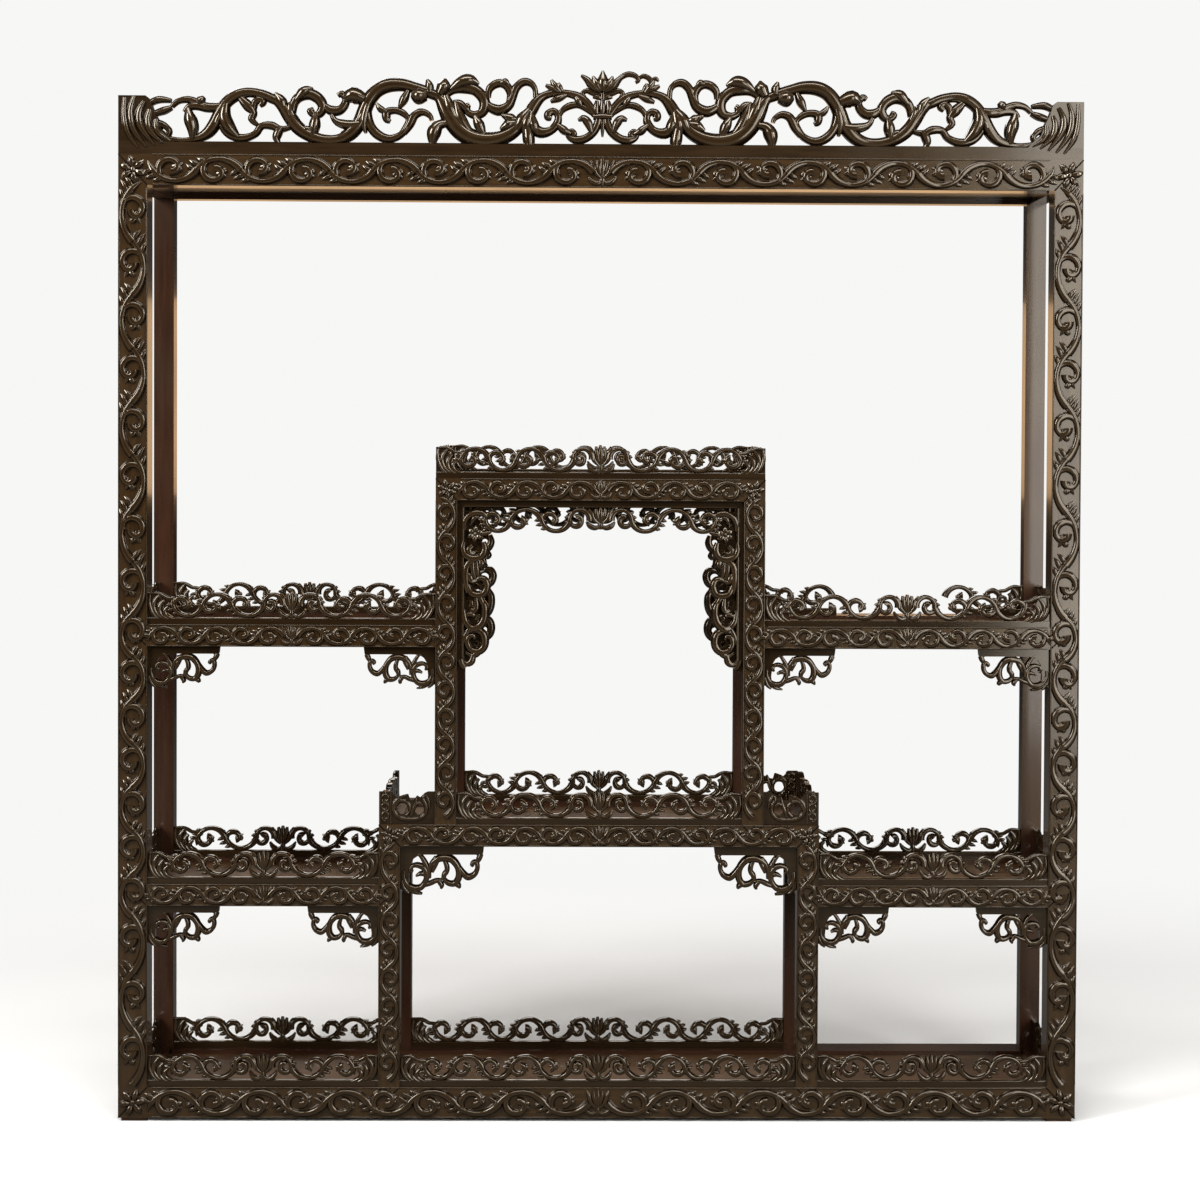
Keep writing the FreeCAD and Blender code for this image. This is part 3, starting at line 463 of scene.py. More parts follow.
for kind, point, last in (("niche_front_post", high_point, 4), ("lower_front_post", low_point, 1)):
    for name, side in zip(both(kind), (-1, 1)):
        low, high = span(name, 2)
        carve_post(name, INNER_STYLE, side, low + POST_GAP,
                   [(point - INNER_CROWN, 6), (point + INNER_CROWN, 1), (high - POST_GAP, last)])

# Joints of the front: the mitres at the corners, and the points of rails and posts that are let into
# their neighbours, show as fine dark lines of glue and dirt.
def plain_material(name, inputs):
    """A material that is the same all over."""
    material = bpy.data.materials.new(name)
    material.use_nodes = True
    feed(material.node_tree, material.node_tree.nodes["Principled BSDF"], inputs)
    return material


joint_dark = plain_material("joint_dark", {"Base Color": (0.0025, 0.0016, 0.0010, 1), "Roughness": 0.8,
                                           "Specular IOR Level": 0.1})
JOINT = 0.6
JOINT_FLATNESS = 0.5
joints = []
for upright, rail in (("left_front_stile", "top_front_rail"), ("left_front_stile", "bottom_front_rail"),
                      ("left_niche_front_post", "niche_top_front_rail"),
                      ("left_lower_front_post", "step_front_rail")):
    (left, right), (low, high) = span(upright, 0), span(rail, 2)
    outer, inner = (low, high) if rail == "bottom_front_rail" else (high, low)
    joints.append([(left, outer), (right, inner)])
stile_edge = span("left_front_stile", 0)[1]
for rail, post in (("left_upper_front_rail", "left_niche_front_post"),
                   ("left_lower_front_rail", "left_lower_front_post")):
    low, high = span(rail, 2)
    middle, point = (low + high) / 2, (high - low) / 2
    post_edge = span(post, 0)[0]
    joints.append([(stile_edge, low), (stile_edge - point, middle), (stile_edge, high)])
    joints.append([(post_edge, low), (post_edge + point, middle), (post_edge, high)])
for post, rail in (("left_niche_front_post", "step_front_rail"),
                   ("left_lower_front_post", "bottom_front_rail")):
    left, right = span(post, 0)
    foot = span(rail, 2)[1]
    joints.append([(left, foot), ((left + right) / 2, foot - (right - left) / 2), (right, foot)])
lines = [[(x, z, JOINT) for x, z in joint] for joint in joints]
flattened = facing((0, FRONT_Y, 0)) @ Matrix.Diagonal((1, 1, JOINT_FLATNESS, 1))
joint_lines = carved(lines + mirrored(lines), None, rounded)
finished("front_joints", [(joint_lines, flattened)], joint_dark, "frame_wood")

# Back frame and side rails: plain square stuff, tenoned together and finished like the front but
# left uncarved, with small pads for feet.
INNER_DARK = (0.020, 0.0072, 0.0038)
INNER_LIGHT = (0.038, 0.0145, 0.0072)
plain_across = wood("plain_across", ACROSS, INNER_DARK, INNER_LIGHT, 0.22, 0.34)
plain_upright = wood("plain_upright", UPRIGHT, INNER_DARK, INNER_LIGHT, 0.22, 0.34)
plain_deep = wood("plain_deep", DEEP, INNER_DARK, INNER_LIGHT, 0.22, 0.34)
paint(plain_across, "top_back_rail", "bottom_back_rail", "niche_top_back_rail", "step_back_rail",
      *both("upper_back_rail", "lower_back_rail"))
paint(plain_upright, *both("back_post", "niche_back_post", "lower_back_post"))
paint(plain_deep, "frame_side_rails", "shelf_side_rails", "niche_top_side_rails", "step_side_rails", "feet")

# Boards: thin panels under the same lacquer, held by tongues that run in the grooves of the rails. They are
# redder and lighter than the frame, partly their own tone and partly a painted reflection of warm light.
# Lighter, redder colours: partly the boards' own tone, partly a painted warm reflection.
board_wood = wood("board_wood", ACROSS, (0.038, 0.0170, 0.0062), (0.070, 0.0320, 0.0112), 0.24, 0.36)
paint(board_wood, "top_board", "bottom_board", "niche_top_board", "step_board",
      *both("upper_board", "lower_board"))

# Crest: a pierced board of leaf scrolls that grow smaller from the middle outwards, on a plain
# strip glued along the top of the frame. Its end blocks are cut in ribs that sweep onto the strip.
strip_wood = wood("strip_wood", ACROSS, (0.0120, 0.0060, 0.0022), (0.0240, 0.0120, 0.0044), 0.18, 0.28)
paint(strip_wood, "crest_base")
fret_wood = wood("fret_wood", ACROSS, SHADED_CARVED_DARK, SHADED_CARVED_LIGHT, 0.12, 0.19, WORN_HIGHLIGHT_AND_SHADE_TINTS)


def slab(outline, front, back, holes=()):
    """Mesh of a flat piece with the outline and holes."""
    bm = bmesh.new()
    for loop in (outline, *holes):
        verts = [bm.verts.new((x, z, back)) for x, z in loop]
        for here, there in zip(verts, verts[1:] + verts[:1]):
            bm.edges.new((here, there))
    bmesh.ops.triangle_fill(bm, edges=bm.edges[:], use_beauty=True)
    made = bmesh.ops.extrude_face_region(bm, geom=bm.faces[:])
    raised = [vertex for vertex in made["geom"] if isinstance(vertex, bmesh.types.BMVert)]
    bmesh.ops.translate(bm, vec=(0, 0, front - back), verts=raised)
    bmesh.ops.recalc_face_normals(bm, faces=bm.faces)
    mesh = bpy.data.meshes.new("slab")
    bm.to_mesh(mesh)
    bm.free()
    return mesh


def bar(left, right, low, high, front, back):
    """Mesh of a square-edged strip."""
    return slab([(left, low), (right, low), (right, high), (left, high)], front, back)


def flipped(outline):
    """The outline's twin on the other side of the middle."""
    return [(-x, z) for x, z in reversed(outline)]


def fretted(node, parts):
    """Makes pierced work of its parts, standing for the CAD node."""
    finished(node + "_carving", parts, fret_wood, "fret_wood", node)


CREST_FRONT = 3.5
CREST_RAIL = 1.6
CREST_SWELL = 1.12
LEAF_LIFT = 2.5
# Left half of the scrolls, measured from the middle of the strip's top.
crest_half = [
    [(-7, 31, 3), (-10.5, 36, 3), (-16.5, 43.5, 3), (-24.5, 49, 3), (-35, 52, 2.5), (-48, 52.5, 2.5),
     (-59, 49.5, 3), (-66.5, 43, 4), (-72.5, 33.5, 4.5), (-82, 21, 4.5), (-92, 12, 5), (-104.5, 6.5, 5.5),
     (-118.5, 5, 6), (-132, 7.5, 6.5), (-143.5, 15, 6.5), (-152, 26, 6.5), (-158, 37.5, 5.5),
     (-163, 46, 4), (-169.5, 51, 3)],
    [(-68, 45, 2.5), (-73, 30, 3.5), (-70.5, 19, 4), (-62, 13, 4), (-52, 15, 3), (-45.5, 22, 3),
     (-44.5, 29.5, 2.5), (-48.5, 34, 2.5), (-53.5, 32.5, 3), (-54.5, 28.5, 3), (-51, 27, 1.5)],
    [(-44, 27.5, 1.5), (-40.5, 35, 2), (-32, 40, 2.5), (-23, 40, 2), (-12, 34, 2), (-8, 30, 1.5)],
    [(-4, 29, 2.5), (-5, 22, 3), (-9, 14, 3), (-17, 7.5, 3), (-25.5, 5.5, 3), (-32.5, 7.5, 2),
     (-34.5, 12, 2), (-31, 14.5, 2), (-28, 11.5, 2), (-30.5, 9, 1.5)],
    [(-161, 42.5, 3), (-156.5, 50.5, 3), (-149.5, 55, 3), (-139.5, 57, 4), (-128, 55, 4), (-120, 47.5, 4),
     (-118, 39.5, 4), (-121, 32.5, 3.5), (-128, 30, 3), (-134.5, 32.5, 2.5), (-136.5, 37.5, 3),
     (-133, 40.5, 1.5)],
    [(-117.5, 42, 2.5), (-111, 37, 3.5), (-103, 35, 4), (-94.5, 39.5, 3.5), (-90.5, 47.5, 3),
     (-87, 57, 3), (-80.5, 63, 3), (-73, 62.5, 2.5), (-68, 57, 2), (-67, 47.5, 2)],
    [(-114, 47, 1.5), (-114, 54.5, 2.5), (-109.5, 60, 3), (-102, 62, 3), (-95.5, 58.5, 3), (-92, 51, 3),
     (-94, 42.5, 2)],
    [(-167, 49, 3.5), (-178.5, 53.5, 4), (-189.5, 57, 4), (-201, 59.5, 4.5), (-214.5, 59, 5),
     (-225.5, 54, 5), (-233.5, 44.5, 5), (-238.5, 33.5, 5), (-243, 22, 5), (-250.5, 12.5, 5),
     (-258, 7, 4.5), (-268, 4, 4), (-281, 4.5, 4), (-294.5, 9, 4.5), (-305.5, 17, 5), (-313, 27, 5),
     (-319.5, 37, 4.5), (-326, 44, 4)],
    [(-232.5, 47, 2), (-236, 32, 3.5), (-232.5, 18.5, 3.5), (-224, 9, 3.5), (-213, 5.5, 3),
     (-202, 10, 2.5), (-196, 18, 2.5), (-194.5, 25.5, 2), (-200, 31.5, 2.5), (-208.5, 34, 2.5),
     (-216, 32, 3), (-216, 25.5, 3), (-212.5, 23, 1.5)],
    [(-199, 11, 2), (-193, 20, 3), (-188, 29.5, 3), (-180, 32.5, 2.5), (-173, 29, 2), (-171, 24, 1.5)],
    [(-323.5, 41.5, 3), (-331, 45, 3.5), (-341, 49, 3.5), (-354.5, 51, 3.5), (-366, 48, 4),
     (-376, 40.5, 4), (-383, 29, 4.5), (-388, 19, 4.5), (-394.5, 10.5, 4), (-403, 5.5, 3), (-414.5, 3, 2),
     (-426, 3, 2), (-438, 6, 1.5)],
    [(-311, 25.5, 2.5), (-309, 39.5, 3), (-303, 47, 3.5), (-293, 49.5, 4), (-284, 45, 4), (-280, 37, 3.5),
     (-283, 30.5, 3), (-288.5, 29, 2.5), (-292.5, 32.5, 2.5), (-289, 35, 1.5)],
    [(-280, 40, 2), (-273, 34, 3.5), (-264.5, 33.5, 3.5), (-258.5, 38.5, 3), (-257, 45, 2.5),
     (-261, 50, 2.5), (-265, 48, 1.5)],
    [(-381, 28, 2.5), (-379, 15.5, 3), (-371, 7.5, 3), (-358.5, 5.5, 3), (-347, 10, 2.5),
     (-341, 17.5, 2.5), (-331, 18, 3), (-322.5, 14.5, 2.5), (-312.5, 16, 1.5)],
    [(-362, 45, 2.5), (-354.5, 37.5, 4), (-349, 30.5, 2.5), (-351, 24, 2.5), (-345, 18.5, 1.5)],
    [(-348.5, 32, 1.5), (-348, 40, 2.5), (-343, 44, 2.5), (-339.5, 41, 2.5), (-343, 37.5, 1.5)],
    [(-388, 33.5, 2), (-396, 35, 3), (-404.5, 37, 3), (-413, 36, 2.5), (-418, 30.5, 1.5)],
    [(-455, 20.5, 1.5), (-446, 20, 2.5), (-437.5, 17, 2.5), (-433, 11.5, 2), (-436, 6.5, 2),
     (-441, 8.5, 2), (-439, 12.5, 1.5)],
    [(-379, 37.5, 2.5), (-388, 35.5, 3.5), (-398, 37, 3), (-408, 42, 2.5), (-416, 43.5, 2.5),
     (-424.5, 41.5, 2), (-430.5, 36, 1.5)]]
# Leaves that lie over the stems, on the left half.
crest_leaves = [
    [(-45.5, 21, 1.5), (-38.5, 15, 3), (-31.5, 11.5, 1)],
    [(-24.5, 25.5, 1), (-19, 27, 2.5), (-14, 22, 3), (-11, 13, 1.5)],
    [(-73, 35, 3), (-81.5, 23.5, 5), (-87.5, 10.5, 1)],
    [(-72.5, 33.5, 3), (-76, 21, 5), (-78.5, 9, 1)],
    [(-71.5, 30, 2.5), (-68.5, 18.5, 4), (-64, 11, 1)],
    [(-75.5, 17, 3.5), (-74, 7, 4.5), (-73, -1.5, 3.5)],
    [(-152, 55, 1.5), (-142, 62, 4.5), (-132.5, 64, 4.5), (-124, 61, 1)],
    [(-135.5, 35, 2), (-142.5, 41, 2.5), (-149.5, 43, 1)],
    [(-102, 61.5, 1.5), (-97.5, 63, 2.5), (-94, 60.5, 1)],
    [(-128, 28.5, 1.5), (-123.5, 20, 4), (-118, 9, 1)],
    [(-147, 42.5, 1.5), (-143, 28.5, 4), (-136, 16.5, 3.5), (-126, 7.5, 1)],
    [(-86.5, 25, 2), (-92, 26.5, 3.5), (-101, 30, 1)],
    [(-87, 22.5, 2), (-94.5, 20, 4), (-102.5, 15.5, 1)],
    [(-191, 50, 2.5), (-184.5, 48.5, 6), (-176, 49, 3.5)],
    [(-173, 52, 2.5), (-173.5, 59, 3), (-175.5, 64.5, 1)],
    [(-163, 50.5, 3.5), (-158.5, 58.5, 5), (-157.5, 65.5, 1)],
    [(-157, 48.5, 2.5), (-153, 37, 4.5), (-147.5, 26.5, 3), (-143, 20, 1)],
    [(-215.5, 32, 1.5), (-222, 35, 2.5), (-226, 40.5, 1)],
    [(-194.5, 53.5, 1.5), (-199, 44.5, 3), (-203.5, 36, 1)],
    [(-153, 21, 2), (-163, 20, 3.5), (-169, 11.5, 5), (-170.5, -0.5, 2)],
    [(-318.5, 34, 2.5), (-321, 43, 3.5), (-327.5, 50, 1)],
    [(-306, 43.5, 2), (-298, 52, 4), (-289.5, 55, 1)],
    [(-258, 43.5, 2.5), (-250, 48.5, 6), (-238, 44.5, 4)],
    [(-271, 29, 1.5), (-266, 22, 2.5), (-254.5, 19, 3.5), (-243, 20, 3)],
    [(-286, 30.5, 1.5), (-288, 18.5, 4), (-290, 5.5, 1.5)],
    [(-299.5, 12, 1.5), (-295.5, 14.5, 2.5), (-289.5, 12, 1)],
    [(-376, 39.5, 2.5), (-378, 27, 4.5), (-373, 15.5, 4.5), (-363.5, 6, 1.5)],
    [(-320.5, 16.5, 2), (-324.5, 10.5, 3), (-326, 4.5, 2.5), (-323, -0.5, 1)],
    [(-414, 34.5, 1.5), (-412, 24, 4.5), (-409.5, 14, 4), (-410, 3.5, 1.5)],
    [(-403, 39, 1.5), (-401, 43, 3), (-398, 46, 1)],
    [(-431, 42, 1.5), (-443, 43, 2.5), (-451, 39.5, 2), (-457, 33, 1.5)],
    [(-430.5, 35, 1.5), (-438, 32, 2.5), (-446.5, 29, 2), (-453, 25, 1.5)],
    [(-42, 53, 1), (-47.5, 58.5, 2.5), (-51.5, 65, 1)],
    [(-44, 53, 1), (-51, 57, 2), (-57, 60, 1)],
    [(-40, 53.5, 1), (-43, 58, 2), (-44.5, 62, 1)],
    [(-36, 50, 1), (-44, 47, 2.5), (-52, 43.5, 1)],
    [(-27, 48, 1.5), (-24, 44, 2.5), (-21, 39, 1)],
    [(-231, 47, 1.5), (-236, 35, 3), (-238.5, 22, 3), (-237, 11, 1)],
    [(-233, 40, 1), (-241, 27, 3), (-249, 11.5, 1)],
    [(-377, 36, 1), (-384, 24, 2.5), (-388, 12.5, 1)],
    [(-308, 19, 1.5), (-317, 34, 3), (-326, 50, 1)],
    [(-307, 24, 1), (-312, 33, 2.5), (-312.5, 41, 1)]]
# Finial over the middle: a stalk and a saucer of two tendrils behind, then the lotus and the tied bundle.
finial_stalk = [
    [(0, 44, 2.0), (0, 55, 2.0)],
    [(0, 28, 2.2), (0, 18, 1.8), (0, 9, 0.8)]]
saucer_half = [
    [(-1, 47, 1.2), (-5, 48.5, 2.0), (-10, 48.5, 0.8)],
    [(-1, 52, 1.8), (-9, 52.5, 2.2), (-16, 55, 2.0), (-20.5, 52, 1.7), (-17.5, 48.5, 1.3)]]
finial_half = [
    [(-6, 31.5, 2.0), (-6.5, 37, 2.5), (-5.5, 44.5, 1.4)],
    [(-2, 54, 1.8), (-10, 58.5, 2.8), (-15.5, 65.5, 2.2), (-21.5, 70, 0.8)],
    [(-1.5, 54, 2.0), (-6.5, 61.5, 3.2), (-10, 69, 0.8)]]
finial_middle = [
    [(0, 31.5, 2.0), (0, 38, 2.5), (0, 45.5, 1.4)],
    [(-9.5, 28.5, 1.8), (0, 29, 2.4), (9.5, 28.5, 1.8)],
    [(0, 54, 2.8), (0, 63, 4.6), (0, 74.5, 0.8)]]
# Tendrils over the right shoulder, whose twins on the left are broken off.
finial_tendrils = [
    [(7, 57, 1.4), (15, 66, 2.0), (24, 71.5, 2.2), (32, 70.5, 2.0), (36, 66, 1.6), (33, 63.5, 1.2)],
    [(35, 67, 1.2), (40.5, 70, 1.8), (46.5, 67.5, 2.0), (49, 62, 2.0), (47, 54, 2.2)],
    [(48, 66, 1.2), (53, 67.5, 1.6), (56, 65, 0.8)]]
# Left end block and its ribs, measured from the crest's end.
crest_block = [(0, 0), (56, 0), (52, 4.5), (43, 12), (39, 23), (34, 33), (31, 43), (27, 46), (0, 46)]
crest_ribs = [
    [(6.5, 44, 1.6), (6, 26, 2.4), (10, 8.5, 2.4), (20, -6, 1.0)],
    [(16, 45, 1.6), (12, 30, 2.8), (15.5, 12, 2.8), (28, -5, 1.0)],
    [(26, 40, 1.8), (20.5, 28, 3.2), (23, 14, 3.2), (36, -3, 1.0)],
    [(31.5, 32, 1.8), (29, 22, 3.0), (32, 10.5, 2.8), (44, -1, 1.0)],
    [(38, 22.5, 1.8), (37.5, 15, 2.6), (41.5, 7.5, 2.4), (52, 1, 0.9)]]
stems = drawn(crest_half, CREST_SWELL) + drawn(saucer_half)
stems += mirrored(stems) + drawn(finial_stalk + finial_tendrils)
leaves = drawn(crest_leaves + finial_half, CREST_SWELL)
leaves += mirrored(leaves) + drawn(finial_middle, CREST_SWELL)
crest_low, crest_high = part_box("crest")
crest_depth = (crest_high.y - crest_low.y) / MM - CREST_FRONT
crest_end = crest_low.x / MM
block_front = (crest_low.y - FRONT_Y) / MM + CREST_FRONT
ribs = drawn(crest_ribs, shift=crest_end)
block = [(crest_end + x, z) for x, z in crest_block]
place = facing((0, crest_low.y + CREST_FRONT * MM, crest_low.z))
fretted("crest", [
    (carved(stems, crest_depth), place),
    (carved(leaves, crest_depth + LEAF_LIFT, rounded), place @ Matrix.Translation((0, 0, LEAF_LIFT))),
    (carved(ribs + mirrored(ribs), None, rounded), facing((0, FRONT_Y, crest_low.z))),
    (bar(crest_end, -crest_end, 0, CREST_RAIL, 0, -crest_depth), place),
    (slab(block, block_front, -crest_depth), place),
    (slab(flipped(block), block_front, -crest_depth), place)])

# Galleries: low pierced boards round every shelf, cut with a smaller run of the same scroll between
# ribbed end blocks, on a plain strip that is glued to the rails and boards.
GALLERY_FRONT = 1.6
GALLERY_DEPTH = 4.4
GALLERY_THICKNESS = (GALLERY_FRONT + GALLERY_DEPTH) * MM
GALLERY_HEIGHT = 33.0
GALLERY_STRIP = 5.6
GALLERY_BEAD = 0.9
GALLERY_STEM = 4.8
GALLERY_MIDDLE = 19.2
GALLERY_RISE = 10.8
GALLERY_CHORD = 26.0
GALLERY_END = 25.0
GALLERY_PALMETTE = 9.0
GALLERY_LOTUS = 10.5
GALLERY_CURL = 0.64
GALLERY_SWEEP = 75
STRIP_FRONT = GALLERY_FRONT - 0.3
BLOCK_BACK = 0.2 - GALLERY_DEPTH
BLOCK_TOP = GALLERY_HEIGHT - 1.5
# Left end block, and its ribs that fan from its top and sweep down onto the strip.
gallery_block = [(0, 1), (27, 1), (27, GALLERY_STRIP), (19, 11), (15.5, 15), (15, 21), (12, 28),
                 (13, BLOCK_TOP), (0, BLOCK_TOP)]
gallery_ribs = [
    [(2.5, 29.5, 1.2), (1.8, 20, 1.8), (5, 11, 1.9), (11, 5, 0.8)],
    [(12, 29.5, 0.9), (7, 23, 1.9), (6.2, 16, 2.1), (10, 9, 2.0), (18, 4, 0.8)],
    [(16, 23.5, 1.2), (12, 18, 2.2), (12.2, 11.5, 2.2), (16.5, 6.5, 1.8), (23.5, 4, 0.8)],
    [(20.5, 17.5, 1.5), (17, 13.5, 2.1), (18.5, 9, 1.9), (23.5, 6, 1.4), (29, 4.5, 0.7)],
    [(1.5, 30.5, 0.8), (9, 31, 1.3), (14.5, 29, 1.7), (19.5, 26.3, 1.6), (25.5, 25.6, 1.5), (31, 23, 1.2)]]


def gallery(length, windows=None):
    """Meshes of one gallery, centred; windows are the stretches left of a broken one."""
    half = length / 2
    run = half - GALLERY_END - GALLERY_PALMETTE
    count = max(1, round(run / GALLERY_CHORD))
    # The half wave beside the lotus is the shortest, and the next one the longest.
    weights = ([0.7, 1.2] + [1.1] * (count - 2))[:count]
    spot, side = GALLERY_PALMETTE + GALLERY_MIDDLE * 1j, 1
    waves = [palmette(GALLERY_STRIP, GALLERY_HEIGHT - 0.5, GALLERY_LOTUS)]
    for weight in weights:
        chord = run * weight / sum(weights)
        wave = half_wave(spot, 0, chord, GALLERY_RISE, GALLERY_STEM, side, GALLERY_CURL, GALLERY_SWEEP)
        waves += [wave, mirrored(wave)]
        spot += chord
        side = -side
    stretches = windows or [(-half, half)]
    pierced = []
    for wave in waves:
        middle = wave[0][len(wave[0]) // 2][0]
        if any(left < middle < right for left, right in stretches):
            pierced += wave
    ribs = drawn(gallery_ribs, shift=-half)
    block = [(x - half, z) for x, z in gallery_block]
    meshes = [carved(pierced, GALLERY_DEPTH), carved(ribs + mirrored(ribs), None, rounded),
              slab(block, 0, BLOCK_BACK), slab(flipped(block), 0, BLOCK_BACK)]
    for left, right in stretches:
        bead = [(left, GALLERY_STRIP, GALLERY_BEAD), (right, GALLERY_STRIP, GALLERY_BEAD)]
        meshes.append(bar(left, right, 0, GALLERY_STRIP, STRIP_FRONT, -GALLERY_DEPTH))
        meshes.append(carved([bead], GALLERY_DEPTH))
    return meshes


def gallery_row(left, right, face, level, windows=None):
    """Parts of a gallery seen from the front, between two places across."""
    place = facing(((left + right) / 2, face + GALLERY_FRONT * MM, level))
    return [(mesh, place) for mesh in gallery((right - left) / MM, windows)]


def gallery_end(front, back, face, level, side):
    """Parts of a gallery along a shelf's end, facing outwards: side -1 for the left end, 1 for the right."""
    place = facing((face - side * GALLERY_FRONT * MM, (front + back) / 2, level), (0, side, 0))
    return [(mesh, place) for mesh in gallery((back - front) / MM)]


stile_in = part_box("left_front_stile")[1].x
lower_out, lower_in = [corner.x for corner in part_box("left_lower_front_post")]
niche_out, niche_in = [corner.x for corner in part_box("left_niche_front_post")]
left_shelf, right_shelf = (stile_in, niche_out), (-niche_out, -stile_in)
left_bay, middle_bay, right_bay = (stile_in, lower_out), (lower_in, -lower_in), (-lower_out, -stile_in)
bottom_level, lower_level, step_level, upper_level = [
    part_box(name)[1].z
    for name in ("bottom_front_rail", "left_lower_front_rail", "step_front_rail", "left_upper_front_rail")]
gallery_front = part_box("upper_front_galleries")[0].y
gallery_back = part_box("lower_back_galleries")[0].y
for node, face, level, spans in (
        ("upper_front_galleries", gallery_front, upper_level, [left_shelf, right_shelf]),
        ("lower_front_galleries", gallery_front, lower_level, [left_bay, right_bay]),
        ("lower_back_galleries", gallery_back, lower_level, [left_bay, right_bay]),
        ("bottom_front_galleries", gallery_front, bottom_level, [left_bay, right_bay, middle_bay]),
        ("bottom_back_galleries", gallery_back, bottom_level, [left_bay, middle_bay])):
    fretted(node, [part for left, right in spans for part in gallery_row(left, right, face, level)])
fretted("niche_floor_galleries", gallery_row(niche_in, -niche_in, gallery_front, step_level)
        + gallery_row(niche_in, -niche_in, gallery_back, step_level))
low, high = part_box("niche_top_galleries")
side_low, side_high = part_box("niche_top_side_rails")
back_left, back_right = side_low.x + GALLERY_THICKNESS, side_high.x - GALLERY_THICKNESS
fretted("niche_top_galleries", gallery_row(low.x, high.x, low.y, low.z)
        + gallery_row(back_left, back_right, high.y - GALLERY_THICKNESS, low.z)
        + gallery_end(low.y + GALLERY_THICKNESS, high.y, side_low.x, low.z, -1)
        + gallery_end(low.y + GALLERY_THICKNESS, high.y, side_high.x, low.z, 1))
low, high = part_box("shelf_side_galleries")
parts = []
for level in (bottom_level, lower_level, upper_level):
    parts += gallery_end(low.y, high.y, low.x, level, -1) + gallery_end(low.y, high.y, high.x, level, 1)
fretted("shelf_side_galleries", parts)

# Upper back galleries: like the others, on the back rails of the upper shelves. The left one is whole,
# and the right one has lost its middle.
BREAK_START = 88.0
BREAK_LENGTH = 128.0
half = (niche_out - stile_in) / MM / 2
left_over = [(-half, BREAK_START - half), (BREAK_START + BREAK_LENGTH - half, half)]
fretted("upper_back_galleries", gallery_row(*left_shelf, gallery_back, upper_level)
        + gallery_row(*right_shelf, gallery_back, upper_level, left_over))

# Step galleries: little solid boards on the two steps, with a double scroll round two eyes and a
# carved upright at the outer end, and pierced galleries along the ends of the step.
STEP_BOARD = 56.0
STEP_POST = 6.2
STEP_POST_FOOT = 3.0
STEP_POST_CHORD = 9.0
STEP_POST_RISE = 3.6
STEP_POST_STEM = 2.0
step_outline = [(0, 0), (56, 0), (56, 32.5), (49, 32.5), (45.5, 31), (41, 26.5), (38, 28.5), (35, 24.5),
                (31, 24), (29, 30), (24, 28.5), (19, 25.5), (13.5, 30.5), (13, 32.5), (0, 32.5)]
step_eyes = [(23.5, 15.5, 5.6), (40.0, 14.5, 5.0)]
step_drawn = [
    [(28.5, 30, 0.6), (20, 25.5, 1.7), (14.5, 19, 1.9), (16, 11, 1.8), (22, 6, 1.8), (30.5, 5, 1.7),
     (39.5, 5.5, 1.7), (46, 10, 1.6), (47.5, 18, 1.6), (44, 25.5, 1.5), (46, 30.5, 0.6)],
    [(16, 16, 1.1), (19, 22.5, 1.5), (25, 23.5, 1.5), (30, 19.5, 1.4), (31, 13.5, 1.3), (27, 8.5, 1.1)],
    [(32, 8, 1.0), (34, 14, 1.7), (36.5, 20, 1.5), (38, 28, 0.6)],
    [(36, 19, 1.0), (40, 21, 1.4), (44, 19, 1.2)],
    [(51, 16, 0.9), (49.5, 24, 1.4), (46, 30, 0.6)]]
step_beads = [[(across, 0.5, 0.8), (across, 32, 0.8)] for across in (0.9, 11.8)]


def eyelet(x, z, radius):
    """Outline of a round hole."""
    turns = [math.tau * step / 20 for step in range(20)]
    return [(x + radius * math.cos(turn), z + radius * math.sin(turn)) for turn in turns]


def step_board(width):
    """Lines, outline and eyes of a step gallery, drawn from its outer end and fitted to the width."""
    fit = width / STEP_BOARD
    lines = drawn([[(x * fit, z, half_width) for x, z, half_width in line] for line in step_drawn])
    lines += scroll_run(STEP_POST + STEP_POST_FOOT * 1j, 90, [STEP_POST_CHORD] * 3, STEP_POST_RISE,
                        STEP_POST_STEM, 1)
    eyes = [eyelet(x * fit, z, radius) for x, z, radius in step_eyes]
    return lines + step_beads, [(x * fit, z) for x, z in step_outline], eyes


low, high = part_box("step_galleries")
side_low, side_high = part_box("step_side_rails")
parts = []
for outer, inner, face, side in (
        (lower_out, niche_out, gallery_front, 1), (-lower_out, -niche_out, gallery_front, -1),
        (side_high.x - GALLERY_THICKNESS, -niche_out, gallery_back, -1)):
    lines, outline, eyes = step_board(abs(inner - outer) / MM)
    if side < 0:
        lines, outline, eyes = mirrored(lines), flipped(outline), [flipped(eye) for eye in eyes]
    place = facing((outer, face + GALLERY_FRONT * MM, low.z))
    parts += [(carved(lines), place), (slab(outline, 0, -GALLERY_DEPTH, eyes), place)]
parts += gallery_end(gallery_front + GALLERY_THICKNESS, high.y, side_low.x, low.z, -1)
parts += gallery_end(gallery_front + GALLERY_THICKNESS, high.y, side_high.x, low.z, 1)
fretted("step_galleries", parts)

# Brackets: pierced corner pieces glued under the rails, each with a plain bar on two sides and a
# chain of scrolls that shrinks towards the tip. Those on the step are larger.
BRACKET_FRONT = 1.9
BRACKET_DEPTH = 6.1
BRACKET_BAR = 0.6
BRACKET_SWELL = 1.22
STEP_BRACKET = 84.0
SHELF_BRACKET = 72.0
